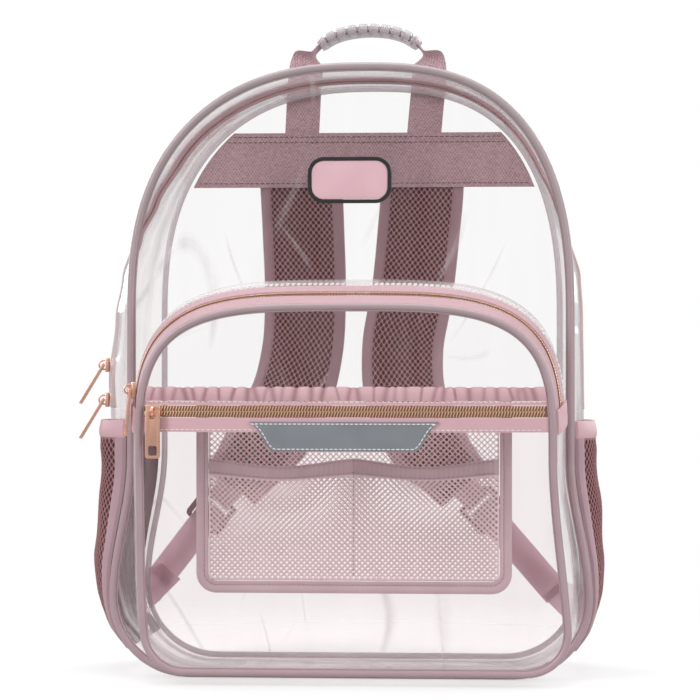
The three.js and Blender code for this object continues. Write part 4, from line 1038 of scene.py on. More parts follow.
def add_pocket_walls():
    shares = arch_shares(POCKET_FRONT, POCKET_ZIP_END, 180)
    tape_sheet("pocket_zip_tape_front", pocket_wall, shares, POCKET_START, POCKET_COIL)
    tape_sheet("pocket_zip_tape_rear", pocket_wall, shares, POCKET_COIL_END, POCKET_TAPE_END)
    wall_coil("pocket_zip_coil", pocket_wall, arch_shares(POCKET_FRONT, POCKET_ZIP_END, 400),
              POCKET_COIL + COIL_WIDTH / 2 - GAP / 2, TEETH)
    creases = wrinkles(21, 50, (0, POCKET_TAPE_END, 430, PANEL_FACE), 10.0, 2.2, 0.6, 90, 30)
    points, faces, cloth = wall_sheet(
        pocket_wall, shares, np.linspace(POCKET_TAPE_END, PANEL_FACE, 13), VINYL,
        pinned(creases, POCKET_TAPE_END, PANEL_FACE))
    piece("pocket_top_film", points, faces, GUSSET, ["pocket_top_strip"], cloth)
    low = POCKET_FRONT.share_at(POCKET_ZIP_END - GAP)
    folds = wrinkles(22, 50, (0, POCKET_START, 640, PANEL_FACE), 14.0, 3.0, 0.7, 90, 25)
    points, faces, cloth = wall_sheet(
        pocket_wall, np.linspace(-low, low, 240), np.linspace(POCKET_START, PANEL_FACE, 19), VINYL,
        pinned(folds, POCKET_START, PANEL_FACE))
    piece("pocket_lower_film", points, faces, GUSSET, ["pocket_lower_gusset"], cloth)


def add_zip_ends():
    """Folded tape over each end of the pocket's arched zip, puckered by its stitches."""
    half_height = 8.0
    width = 2 * POCKET_TAPE_WIDTH + COIL_WIDTH
    lift = 1.2 + GAP + TAPE / 2
    low = POCKET_FRONT.share_at(POCKET_ZIP_END - half_height)
    high = POCKET_FRONT.share_at(POCKET_ZIP_END + half_height)
    for word, mirrored in (("right", False), ("left", True)):
        shares = np.linspace(low, high, 25)
        shares = 1 - shares if mirrored else shares
        puckers = wrinkles(31, 30, (0, POCKET_START, 16, POCKET_START + width), 4.0, 1.2, 0.35, 0, 40)
        points, faces, cloth = wall_sheet(
            pocket_wall, shares, np.linspace(POCKET_START, POCKET_START + width, 31), TAPE, puckers, lift)
        name = f"pocket_zip_end_{word}"
        piece(f"{name}_tab", points, faces, TAPE_LOOK, [name], cloth)


# Pocket front


def front_band(node, low, high, look, rows, columns=160, ripple=None, scallop=0.0):
    """A band across the domed pocket front between two heights.

    ripple gives its lift and its shade from 0 to 1, and scallop how far its top edge waves."""
    edge = POCKET_PIPING_RADIUS + GAP
    heights = np.linspace(low, high - GAP, rows + 1)
    half = np.array([POCKET_FRONT.half_width_at(h) - edge for h in heights])
    x = half[:, None] * np.linspace(-1, 1, columns + 1) + POCKET_FRONT.lean(heights)[:, None]
    z = heights[:, None] + 0 * x
    lift, shade = ripple(x, z) if ripple else (0.0 * x, 0.0 * x)
    z = z - scallop * shade * np.linspace(0, 1, rows + 1)[:, None] ** 3
    grid = np.stack([x, dome(x, z) - lift, z], -1)
    shift = np.array([0, TAPE / 2, 0])
    points, faces = closed_sheet(grid - shift, grid + shift)
    cloth = np.stack([x.ravel(), z.ravel(), shade.ravel()], -1)
    return piece(f"{node}_cloth", points, faces, look, [node], np.vstack([cloth, cloth]))


def straight_cut(low, high):
    """The pocket front between two heights, as a loop with even points on its straight cuts."""
    edge = POCKET_PIPING_RADIUS + GAP
    shares = np.linspace(0, 1, 721)[:-1]
    line = POCKET_FRONT.inset(shares, edge)
    inside = (line[:, 1] >= low) & (line[:, 1] <= high - GAP)
    kept = line[inside]
    if low > POCKET_MIDDLE:
        half = kept[0, 0]
        floor = np.stack([np.linspace(-half, half, 81)[1:-1], np.full(79, low)], -1)
        return np.vstack([kept, floor])
    start = np.argmax(~inside) if (~inside).any() else 0
    right, left = line[:start], line[start + (~inside).sum():]
    half = right[-1, 0]
    roof = np.stack([np.linspace(half, -half, 81)[1:-1], np.full(79, high - GAP)], -1)
    return np.vstack([right, roof, left])


def add_windows():
    sizes = ring_sizes(0.88, 0.05, 19)
    settings = [
        ("pocket_upper_window", GATHER_HIGH, POCKET_TOP, (0.0, GATHER_HIGH + 25.0), 41, 24),
        ("pocket_lower_window", POCKET_BASE, LOWER_TAPE_LOW, (0.0, 88.0), 42, 26),
    ]
    for node, low, high, centre, seed, count in settings:
        boundary = straight_cut(low, high)
        creases = wrinkles(seed, count, (-135, low, 135, high), 30.0, 5.0, 0.5, 75, 45)

        def front(x, z, creases=creases):
            return dome(x, z) - VINYL / 2 - creases(x, z)

        def rear(x, z, creases=creases):
            return dome(x, z) + VINYL / 2 - creases(x, z)

        points, faces = disc_sheet(boundary, np.array(centre), sizes, front, rear)
        look = LOW_PANEL if node == "pocket_lower_window" else PANEL
        piece(f"{node}_film", points, faces, look, [node])


def add_pocket_bands():
    draw = random.Random(51)
    folds = []
    place = -140.0
    while place < 140:
        folds.append((place, draw.uniform(0.9, 2.2), draw.uniform(0.45, 1.0), draw.uniform(-3.0, 3.0)))
        place += draw.uniform(4.0, 11.0)

    def ruched(x, z):
        """Folds that lean a little and fade towards the band's edges."""
        share = np.clip((z - TAPE_HIGH) / GATHER_WIDTH, 0, 1)
        valley = 0.0
        for middle, width, depth, tilt in folds:
            valley = valley + depth * np.exp(-((x - middle - tilt * (share - 0.5)) / width) ** 2)
        valley = np.clip(valley, 0, 1)
        crown = crowned(share, 0.04)
        return (1.5 - 1.3 * valley) * crown, valley

    front_band("pocket_gathered_band", TAPE_HIGH, GATHER_HIGH, GATHER_LOOK, 10, 520, ruched, 1.0)
    front_band("window_zip_tape_upper", COIL_HIGH, TAPE_HIGH, TAPE_LOOK, 4)
    front_band("window_zip_tape_lower", LOWER_TAPE_LOW, COIL_LOW, TAPE_LOOK, 8)
    edge = POCKET_PIPING_RADIUS + GAP
    half = POCKET_FRONT.half_width_at(WINDOW_ZIP_HEIGHT) - edge
    x = np.linspace(-half, half, 300)
    z = np.full_like(x, WINDOW_ZIP_HEIGHT - GAP / 2)
    centres = np.stack([x, dome(x, z), z], -1)
    along = unit_rows(np.gradient(centres, axis=0))
    up = np.tile([0.0, 0.0, 1.0], (len(x), 1))
    normals = unit_rows(np.cross(along, up))
    zip_coil("window_zip_coil", centres, up, normals, WINDOW_COIL_WIDTH - GAP, TEETH)


def patch_boundary():
    """Straight top, sides that curve in to rounded lower corners."""
    bottom = PATCH_TOP - PATCH_HEIGHT
    side = np.array([
        [PATCH_TOP_HALF_WIDTH, PATCH_TOP],
        [mix(PATCH_TOP_HALF_WIDTH, PATCH_BOTTOM_HALF_WIDTH, 0.5), mix(PATCH_TOP, bottom, 0.2)],
        [mix(PATCH_TOP_HALF_WIDTH, PATCH_BOTTOM_HALF_WIDTH, 0.6), bottom],
        [PATCH_BOTTOM_HALF_WIDTH, bottom],
    ])
    t = np.linspace(0, 1, 22)[:, None]
    right = ((1 - t) ** 3 * side[0] + 3 * t * (1 - t) ** 2 * side[1]
             + 3 * t ** 2 * (1 - t) * side[2] + t ** 3 * side[3])
    floor = np.stack([np.linspace(PATCH_BOTTOM_HALF_WIDTH, -PATCH_BOTTOM_HALF_WIDTH, 60)[1:-1],
                      np.full(58, bottom)], -1)
    roof = np.stack([np.linspace(-PATCH_TOP_HALF_WIDTH, PATCH_TOP_HALF_WIDTH, 80)[1:-1],
                     np.full(78, PATCH_TOP)], -1)
    return np.vstack([right, floor, right[::-1] * (-1, 1), roof])


def add_patch():
    lift = TAPE + GAP
    boundary = patch_boundary()
    centre = np.array([0.0, PATCH_TOP - PATCH_HEIGHT * 0.45])
    sizes = np.array([1, 0.985, 0.95, 0.8, 0.6, 0.4, 0.2])

    def face(x, z, shift):
        return dome(x, z) - lift - shift

    points, faces = disc_sheet(
        boundary, centre, sizes,
        lambda x, z: face(x, z, TAPE / 2), lambda x, z: face(x, z, -TAPE / 2))
    cloth = points[:, [0, 2]]
    piece("reflective_patch_film", points, faces, PATCH_LOOK, ["reflective_patch"], cloth)
    inner = centre + (boundary - centre) * np.array([0.965, 0.86])
    inner[:, 1] = np.clip(inner[:, 1], PATCH_TOP - PATCH_HEIGHT + 1.6, PATCH_TOP - 1.6)
    line = np.stack([inner[:, 0], face(inner[:, 0], inner[:, 1], TAPE / 2), inner[:, 1]], -1)
    stitch_line("patch_stitches", [np.vstack([line, line[:1]])], (0, -1, 0), WHITE_THREAD, 2.4, 3.2)


# Stitches


def stitch_shape(length, radius):
    stations = [(-0.5, 0.35), (-0.3, 1.0), (0.3, 1.0), (0.5, 0.35)]
    turn = np.linspace(0, TAU, 6)[:-1]
    sections = np.array([
        [(length * share, radius * size * math.cos(t), radius * size * math.sin(t)) for t in turn]
        for share, size in stations])
    return section_tube(sections)


def stitch_line(name, lines, outward, look, length=STITCH_LENGTH, step=STITCH_STEP,
                radius=STITCH_RADIUS, sink=0.4):
    """Thread stitches along lines of points, lying on a surface that faces outward.

    outward is one direction, or one list of directions for each line."""
    unit, unit_faces = stitch_shape(length, radius)
    shapes = []
    for number, line in enumerate(lines):
        marks = np.concatenate([[0], np.cumsum(np.linalg.norm(np.diff(line, axis=0), axis=1))])
        places = np.arange(step / 2, marks[-1] - step / 2 + 1e-6, step)
        if not len(places):
            continue
        at = np.stack([np.interp(places, marks, line[:, k]) for k in range(3)], -1)
        ahead = np.stack([np.interp(places + length / 3, marks, line[:, k]) for k in range(3)], -1)
        behind = np.stack([np.interp(places - length / 3, marks, line[:, k]) for k in range(3)], -1)
        t = unit_rows(ahead - behind)
        given = np.asarray(outward, float)
        if given.ndim == 1:
            n = np.tile(given, (len(places), 1))
        else:
            rows = np.asarray(outward[number], float)
            n = np.stack([np.interp(places, marks, rows[:, k]) for k in range(3)], -1)
        n = unit_rows(n - t * (n * t).sum(-1, keepdims=True))
        frames = np.stack([t, np.cross(n, t), n], 1)
        shapes.append(scattered(unit, unit_faces, at + n * (radius * (1 - sink)), frames))
    points, faces = joined(*shapes)
    return piece(name, points, faces, look, crease=70)


# Badge


def rounded_rectangle(width, height, radius, centre_z, count=12):
    corners = [(1, -1), (1, 1), (-1, 1), (-1, -1)]
    points = []
    for number, (sx, sz) in enumerate(corners):
        for turn in np.linspace(-np.pi / 2, 0, count) + number * np.pi / 2:
            points.append((sx * (width / 2 - radius) + radius * math.cos(turn),
                           centre_z + sz * (height / 2 - radius) + radius * math.sin(turn)))
    return np.array(points)


def add_badge():
    rear = PANEL_FACE
    corner = BADGE_HEIGHT * 0.35
    profile = [(0.0, rear), (0.0, rear - BADGE_THICKNESS * 0.6), (0.35, rear - BADGE_THICKNESS * 0.95),
               (BADGE_RIM * 0.5, rear - BADGE_THICKNESS), (BADGE_RIM - 0.35, rear - BADGE_THICKNESS * 0.95),
               (BADGE_RIM, rear - BADGE_THICKNESS * 0.6), (BADGE_RIM, rear)]
    sections = []
    for inset, y in profile:
        line = rounded_rectangle(BADGE_WIDTH - 2 * inset, BADGE_HEIGHT - 2 * inset,
                                 corner - inset, BADGE_CENTRE)
        sections.append(np.stack([line[:, 0], np.full(len(line), y), line[:, 1]], -1))
    points, faces = section_tube(np.stack(sections, 1), ring=True)
    piece("badge_rim_moulding", points, faces, RUBBER, ["badge_rim"])
    edge = BADGE_RIM + GAP
    boundary = rounded_rectangle(BADGE_WIDTH - 2 * edge, BADGE_HEIGHT - 2 * edge, corner - edge, BADGE_CENTRE)
    centre = np.array([0.0, BADGE_CENTRE])
    half = np.array([BADGE_WIDTH, BADGE_HEIGHT]) / 2 - edge

    def face(x, z):
        crown = (1 - (x / half[0]) ** 4) * (1 - ((z - BADGE_CENTRE) / half[1]) ** 4)
        return rear - BADGE_THICKNESS * (0.55 + 0.3 * np.clip(crown, 0, 1))

    points, faces = disc_sheet(boundary, centre, np.array([1, 0.96, 0.9, 0.75, 0.5, 0.25]),
                               face, lambda x, z: np.full_like(x, rear))
    piece("badge_inlay_moulding", points, faces, INLAY, ["badge_inlay"])


# Nets


def net_sheet(place, columns, rows, pitch, hole, thickness, pit=None):
    """A diamond net laid by place(u, v, out). hole is how far its holes reach to the crossings.

    With pit None the holes go through. Otherwise they are round pits of that depth."""
    half = np.array(pitch) / 2
    i, j = np.meshgrid(np.arange(2 * columns + 1), np.arange(2 * rows + 1), indexing="ij")
    inside = ((i + j) % 2 == 1) & (i > 0) & (j > 0) & (i < 2 * columns) & (j < 2 * rows)
    cells = np.stack([i[inside], j[inside]], -1)
    sides = 4 if pit is None else 8
    turns = np.linspace(0, TAU, sides + 1)[:-1]
    diamond = np.stack([np.cos(turns), np.sin(turns)], -1)
    diamond /= np.abs(diamond).sum(-1, keepdims=True)
    top, bottom = thickness / 2, -thickness / 2
    # The last value of each ring is its depth from 0 to 1, which the air mesh looks turn into painted shade.
    if pit is None:
        rings = [(diamond, top, 0.0), (diamond * hole, top, 0.3),
                 (diamond * hole, bottom, 0.6), (diamond, bottom, 0.6)]
    else:
        circle = np.stack([np.cos(turns), np.sin(turns)], -1)
        rings = [(diamond, top, 0.0), (mix(diamond, circle * hole, 0.72), top - pit * 0.12, 0.1),
                 (circle * hole * 0.72, top - pit * 0.55, 0.7), (circle * hole * 0.45, top - pit, 1.0)]
    unit = np.vstack([np.column_stack([xy, np.full(sides, out), np.full(sides, deep)])
                      for xy, out, deep in rings])
    ring = np.arange(sides)
    after = (ring + 1) % sides
    quads = [np.stack([ring + k * sides, after + k * sides, after + (k + 1) * sides,
                       ring + (k + 1) * sides], -1) for k in range(len(rings) - 1)]
    unit_faces = [np.vstack(quads)]
    if pit is not None:
        unit_faces.append(ring[None] + 3 * sides)
        unit = np.vstack([unit, np.column_stack([diamond[::2], np.full(4, bottom), np.ones(4)])])
        unit_faces.append(np.array([[3, 2, 1, 0]]) + 4 * sides)
    flat = np.repeat(cells, len(unit), 0) + np.tile(unit[:, :2], (len(cells), 1))
    rows_of = np.column_stack([flat, np.tile(unit[:, 2:], (len(cells), 1))])
    starts = np.arange(len(cells)) * len(unit)
    faces = [(g[None] + starts[:, None, None]).reshape(-1, g.shape[1]) for g in unit_faces]
    extra_rows, extra = net_border(columns, rows, top, bottom, pit is not None)
    faces += [group + len(rows_of) for group in extra]
    rows_of = np.vstack([rows_of, extra_rows])
    key = np.round(rows_of[:, :3] * 64).astype(int)
    _, first, back = np.unique(key, axis=0, return_index=True, return_inverse=True)
    kept = rows_of[first]
    faces = [back.ravel()[group] for group in faces]
    u, v = kept[:, 0] * half[0], kept[:, 1] * half[1]
    return place(u, v, kept[:, 2]), faces, np.column_stack([u, v, kept[:, 3]])


def net_border(columns, rows, top, bottom, middles):
    """The solid half cells along the net's four edges, on both faces, and the rim between."""
    points, groups = [], {3: [], 4: [], 5: []}

    def add(corners):
        start = len(points)
        points.extend(corners)
        groups[len(corners)].append(list(range(start, start + len(corners))))

    def half_cell(a, tip, b):
        between_a = tuple((p + q) / 2 for p, q in zip(a, tip))
        between_b = tuple((p + q) / 2 for p, q in zip(tip, b))
        front = [a, between_a, tip, between_b, b] if middles else [a, tip, b]
        add([(*p, top, 0.0) for p in front])
        add([(*p, bottom, 0.6) for p in (b, tip, a)])
        add([(*a, top, 0.0), (*b, top, 0.0), (*b, bottom, 0.6), (*a, bottom, 0.6)])

    for j in range(1, 2 * rows, 2):
        half_cell((0, j + 1), (1, j), (0, j - 1))
        half_cell((2 * columns, j - 1), (2 * columns - 1, j), (2 * columns, j + 1))
    for i in range(1, 2 * columns, 2):
        half_cell((i - 1, 0), (i, 1), (i + 1, 0))
        half_cell((i + 1, 2 * rows), (i, 2 * rows - 1), (i - 1, 2 * rows))
    return np.array(points, float), [np.array(g) for g in groups.values() if g]


NET_PITCH = 4.0
# Cell pitches of the air meshes, across and along, in mm
MESH_PITCH = (4.0, 5.4)
SIDE_MESH_PITCH = (6.2, 5.8)


def organizer_bounds():
    half = ORGANIZER_HALF_WIDTH - ORGANIZER_BINDING - GAP
    bottom = ORGANIZER_BOTTOM + ORGANIZER_BINDING + GAP
    return half, bottom


def add_organizer():
    half, bottom = organizer_bounds()
    columns = round(2 * half / NET_PITCH)
    rows = round((ORGANIZER_TOP - bottom) / NET_PITCH)
    pitch = (2 * half / columns, (ORGANIZER_TOP - bottom) / rows)
    sag = wrinkles(61, 26, (0, 0, 2 * half, ORGANIZER_TOP - bottom), 30.0, 9.0, 0.35, 60, 60)

    def place(u, v, out):
        lift = 0.4 + np.abs(sag(u, v))
        return np.stack([u - half + ORGANIZER_CENTRE, PANEL_FACE - NET / 2 - lift - out, v + bottom], -1)

    points, faces, cloth = net_sheet(place, columns, rows, pitch, 0.76, 0.5)
    made = piece("organizer_back_net_knit", points, faces, NET_LOOK,
                 ["organizer_back_net"], cloth)


def binding_path(inset, count=14):
    """The organiser's binding as a U of (x, z) points, inset from its outer edge."""
    half = ORGANIZER_HALF_WIDTH - inset
    base = ORGANIZER_BOTTOM + inset
    corner = max(ORGANIZER_CORNER - inset, 1.5)
    turn = np.linspace(0, np.pi / 2, count)
    left = np.stack([-half + corner - corner * np.cos(turn), base + corner - corner * np.sin(turn)], -1)
    side = np.linspace(ORGANIZER_TOP, base + corner, 60)[:-1]
    floor = np.linspace(-half + corner, half - corner, 90)[1:-1]
    path = np.vstack([
        np.stack([np.full(len(side), -half), side], -1), left,
        np.stack([floor, np.full(len(floor), base)], -1), left[::-1] * (-1, 1),
        np.stack([np.full(len(side), half), side[::-1]], -1)])
    return path + (ORGANIZER_CENTRE, 0)


def add_organizer_binding():
    """Folded tape round the organiser: two rolls with a stitched channel between."""
    width = ORGANIZER_BINDING - 0.2
    insets = np.linspace(0.0, width, 19)
    share = insets / width
    height = 1.2 + 0.8 * np.abs(np.sin(1.5 * np.pi * np.clip(share, 0.02, 0.98))) ** 0.7
    paths = np.stack([binding_path(i) for i in insets], 1)
    y_front = PANEL_FACE - height - 0.2
    outer = np.stack([paths[..., 0], np.broadcast_to(y_front, paths.shape[:2]), paths[..., 1]], -1)
    inner = outer.copy()
    inner[..., 1] = PANEL_FACE
    length = np.linspace(0, 1, len(paths))[:, None] * 500 + 0 * paths[..., 0]
    cloth = np.stack([length.ravel(), np.broadcast_to(insets, paths.shape[:2]).ravel()], -1)
    points, faces = closed_sheet(outer, inner)
    piece("organizer_binding_tape", points, faces, ORGANIZER_TAPE,
          ["organizer_binding"], np.vstack([cloth, cloth]))
    lines = [np.stack([p[:, 0], np.full(len(p), PANEL_FACE - 1.45), p[:, 1]], -1)
             for p in (binding_path(width * 0.34), binding_path(width * 0.68))]
    stitch_line("organizer_binding_stitches", lines, (0, -1, 0), MAUVE_THREAD, 2.2, 3.4, 0.3)


def pouch_point(u, height, out):
    """u runs across from -1 to 1. The pouch is sewn at both sides, the bottom and the middle."""
    half, low = organizer_bounds()
    bottom = low + ORGANIZER_CORNER
    rise = np.clip((height - bottom) / (POUCH_TOP - bottom), 0, 1)
    pocket = np.abs(np.sin(np.pi * u))
    forward = POUCH_BULGE * pocket ** 0.8 * smooth(np.minimum(rise * 1.4, 1))
    seat = PANEL_FACE - NET - GAP - NET / 2
    droop = 5.0 * pocket ** 1.5 * rise ** 3
    return np.stack([u * half + ORGANIZER_CENTRE, seat - forward - out, height - droop], -1)


def add_pouch():
    half, low = organizer_bounds()
    bottom = low + 1.0
    top = POUCH_TOP - POUCH_BAND
    columns = round(2 * half / NET_PITCH)
    rows = round((top - bottom) / NET_PITCH)
    pitch = (2 * half / columns, (top - bottom) / rows)
    sag = wrinkles(62, 30, (0, 0, 2 * half, top - bottom), 26.0, 6.0, 0.7, 75, 50)

    def place(u, v, out):
        return pouch_point(u / half - 1, v + bottom, out + np.abs(sag(u, v)) * 0.6)

    points, faces, cloth = net_sheet(place, columns, rows, pitch, 0.72, 0.5)
    made = piece("organizer_pouch_knit", points, faces, NET_LOOK, ["organizer_pouch"], cloth)
    share = np.linspace(-1, 1, 181)
    heights = np.linspace(top, POUCH_TOP, 9)
    u, z = np.meshgrid(share, heights, indexing="ij")
    crown = 0.7 * crowned((z - top) / POUCH_BAND, 0.02)
    crimp = 0.25 * np.sin(u * 190)
    points, faces = closed_sheet(
        pouch_point(u, z, NET / 2 + crown + crimp), pouch_point(u, z, -NET / 2 + crimp))
    cloth = np.stack([(u * half).ravel(), z.ravel()], -1)
    band = piece("organizer_pouch_band_tape", points, faces, ORGANIZER_TAPE,
                 ["organizer_pouch_band"], np.vstack([cloth, cloth]))
    lines = []
    for height in (top + 1.4, POUCH_TOP - 1.4):
        lines.append(pouch_point(share, np.full_like(share, height), NET / 2 + 0.75))
    seam_z = np.linspace(bottom + 2, POUCH_TOP - 2, 40)
    lines.append(pouch_point(np.zeros_like(seam_z), seam_z, NET / 2 + 0.3))
    stitch_line("organizer_pouch_stitches", lines, (0, -1, 0), MAUVE_THREAD, 2.2, 3.2, 0.32)


# Side pockets


def side_pocket_point(side, y, height, out):
    """side is 1 on the right and -1 on the left."""
    across = np.clip((y - FRONT_Y) / BODY_DEPTH, 0, 1)
    rise = np.clip((height - SIDE_POCKET_BOTTOM) / (SIDE_POCKET_TOP - SIDE_POCKET_BOTTOM), 0, 1)
    belly = np.sin(np.pi * across) ** 0.6
    seat = VINYL / 2 + GAP + NET / 2
    opened = seat + SIDE_POCKET_STAND * belly * read_rows(STAND_ROWS, 1, rise)
    share = BODY_FRONT.share_at(height)
    return body_wall(share if side > 0 else 1 - share, y, opened + out)


def add_side_pockets():
    first = FRONT_Y + PIPING_RADIUS + GAP
    last = BACK_Y - BINDING_RADIUS - GAP
    band = SIDE_POCKET_TOP - SIDE_POCKET_BAND
    width, height = last - first, band - SIDE_POCKET_BOTTOM
    columns, rows = round(width / SIDE_MESH_PITCH[0]), round(height / SIDE_MESH_PITCH[1])
    pitch = (width / columns, height / rows)
    for side, word in ((1, "right"), (-1, "left")):
        dents = wrinkles(70 + side, 14, (0, 0, width, height), 30.0, 9.0, 1.0, 80, 30)

        def place(u, v, out, side=side, dents=dents):
            hold = np.clip(np.minimum(u, width - u) / 10, 0, 1) * np.clip(v / 10, 0, 1)
            return side_pocket_point(side, u + first, v + SIDE_POCKET_BOTTOM, out + dents(u, v) * hold)

        points, faces, cloth = net_sheet(place, columns, rows, pitch, 0.74, 1.8, 1.2)
        name = f"side_pocket_net_{word}"
        made = piece(f"{name}_knit", points, faces, SIDE_MESH, [name], cloth)
        add_pocket_trim(side, word, first)
        stations = np.linspace(first, last, 61)
        heights = np.linspace(band, SIDE_POCKET_TOP, 11)
        y, z = np.meshgrid(stations, heights, indexing="ij")
        share = (z - band) / SIDE_POCKET_BAND
        crown = 0.9 * crowned(share, 0.03)
        points, faces = closed_sheet(side_pocket_point(side, y, z, TAPE / 2 + crown),
                                     side_pocket_point(side, y, z, -TAPE / 2))
        cloth = np.stack([y.ravel(), z.ravel()], -1)
        name = f"side_pocket_band_{word}"
        top = piece(f"{name}_tape", points, faces, TAPE_LOOK, [name], np.vstack([cloth, cloth]))


def add_pocket_trim(side, word, first):
    """The smooth tape that binds the net's front edge."""
    start = first - GAP / 2
    stations = np.linspace(start, first + SIDE_POCKET_TRIM, 9)
    heights = np.linspace(SIDE_POCKET_BOTTOM, SIDE_POCKET_TOP - SIDE_POCKET_BAND, 81)
    y, z = np.meshgrid(stations, heights, indexing="ij")
    share = (y - start) / (SIDE_POCKET_TRIM + GAP / 2)
    crown = 1.3 + 0.5 * np.sin(np.pi * np.clip(share, 0.04, 0.96)) ** 0.5
    points, faces = closed_sheet(side_pocket_point(side, y, z, crown), side_pocket_point(side, y, z, -1.0))
    cloth = np.stack([z.ravel(), y.ravel()], -1)
    piece(f"side_pocket_trim_{word}", points, faces, BINDING_LOOK,
          cloth=np.vstack([cloth, cloth]))


# Yoke


def add_yoke():
    heights = np.linspace(YOKE_BOTTOM, YOKE_TOP, 25)
    edge = 2 * (BINDING_RADIUS + GAP)
    half = np.array([BODY_BACK.half_width_at(h) - edge for h in heights])
    x = half[:, None] * np.linspace(-1, 1, 121) + BODY_BACK.lean(heights)[:, None]
    z = heights[:, None] + 0 * x
    share = (z - YOKE_BOTTOM) / (YOKE_TOP - YOKE_BOTTOM)
    hem = 0.25 * (np.exp(-((share - 0.02) / 0.05) ** 2) + np.exp(-((share - 0.98) / 0.05) ** 2))
    rear = np.stack([x, BACK_FACE + YOKE_THICKNESS - 0.25 + hem, z], -1)
    front = np.stack([x, BACK_FACE - 0 * x, z], -1)
    points, faces = closed_sheet(front, rear)
    cloth = np.stack([x.ravel(), z.ravel()], -1)
    made = piece("yoke_band_cloth", points, faces, WEBBING_LOOK, ["yoke_band"],
                 np.vstack([cloth, cloth]))
    lines, outward = [], []
    for height in (YOKE_BOTTOM + 3, YOKE_TOP - 3, YOKE_TOP - 7):
        reach = float(BODY_BACK.half_width_at(height)) - edge - 2
        row = np.linspace(-reach, reach, 60) + BODY_BACK.lean(height)
        for y, way in ((BACK_FACE, -1.0), (BACK_FACE + YOKE_THICKNESS, 1.0)):
            lines.append(np.stack([row, np.full(60, y), np.full(60, height)], -1))
            outward.append(np.tile([0.0, way, 0.0], (60, 1)))
    stitch_line("yoke_stitches", lines, outward, DARK_THREAD, 2.8, 3.8, 0.3)


# Curves and ribbons


class Curve:
    """A smooth curve through points, with the centripetal spacing."""

    def __init__(self, points):
        self.points = np.asarray(points, float)

    def at(self, shares):
        return np.array([self.point(share) for share in np.atleast_1d(shares)])

    def point(self, share):
        points = self.points
        place = (len(points) - 1) * min(max(share, 0.0), 1.0)
        i = min(int(place), len(points) - 2)
        t = place - i
        p1, p2 = points[i], points[i + 1]
        p0 = points[i - 1] if i > 0 else 2 * p1 - p2
        p3 = points[i + 2] if i + 2 < len(points) else 2 * p2 - p1
        d0, d1, d2 = (math.sqrt(max(np.linalg.norm(b - a), 1e-4)) for a, b in ((p0, p1), (p1, p2), (p2, p3)))
        m1 = ((p1 - p0) / d0 - (p2 - p0) / (d0 + d1) + (p2 - p1) / d1) * d1
        m2 = ((p2 - p1) / d1 - (p3 - p1) / (d1 + d2) + (p3 - p2) / d2) * d1
        return (p1 + m1 * t + (-3 * p1 + 3 * p2 - 2 * m1 - m2) * t ** 2
                + (2 * p1 - 2 * p2 + m1 + m2) * t ** 3)


def ribbon_frames(points, outward):
    """Along, out and across at each point, with out held square to the line."""
    along = unit_rows(np.gradient(points, axis=0))
    out = outward - along * (outward * along).sum(-1, keepdims=True)
    out = unit_rows(out)
    return along, out, np.cross(along, out)


def webbing_sheet(points, outward, width, thickness=WEBBING, columns=12):
    """Flat webbing with rounded selvages along a line."""
    _, out, across = ribbon_frames(points, outward)
    share = np.linspace(-1, 1, columns + 1)
    half = thickness / 2 * np.sqrt(np.clip(1 - np.abs(share) ** 8, 0.05, 1))
    middle = points[:, None] + across[:, None] * (share * width / 2)[None, :, None]
    offset = out[:, None] * half[None, :, None]
    marks = np.concatenate([[0], np.cumsum(np.linalg.norm(np.diff(points, axis=0), axis=1))])
    u, v = np.broadcast_arrays(share * width / 2, marks[:, None])
    cloth = np.stack([u.ravel(), v.ravel()], -1)
    made_points, faces = closed_sheet(middle + offset, middle - offset)
    return made_points, faces, np.vstack([cloth, cloth]), float(marks[-1])


# Handle

HANDLE_Y = YOKE_FACE + WEBBING / 2 + GAP
HANDLE_ROWS = [(0.41, 0.95), (0.68, 0.83), (0.86, 0.66), (0.98, 0.42), (1.0, 0.14)]
GRIP_HALF = 0.185


LEG_BOTTOM = STRAP_TOP + 2.0


def handle_lean(z):
    return HANDLE_LEAN * np.clip((z - LEG_BOTTOM) / (HANDLE_TOP - LEG_BOTTOM), 0, 1)


def handle_curve():
    half = [(HANDLE_SPREAD * spread, mix(BACK_TOP, HANDLE_TOP, rise)) for spread, rise in HANDLE_ROWS]
    half += [(mix(STRAP_SPACING, HANDLE_SPREAD, 0.6), mix(LEG_BOTTOM, BACK_TOP, 0.6)),
             (STRAP_SPACING, LEG_BOTTOM)]
    line = [(-x, z) for x, z in reversed(half)] + [(0.0, HANDLE_TOP)] + half
    return Curve([(x + handle_lean(z), HANDLE_Y, z) for x, z in line])


def handle_outward(points):
    turned = mix(BACK_TOP, HANDLE_TOP, 0.64)
    flat = mix(BACK_TOP, HANDLE_TOP, 0.4)
    turn = smooth(np.clip((turned - points[:, 2]) / (turned - flat), 0, 1))
    return np.stack([0 * turn, turn, 1 - turn], -1)


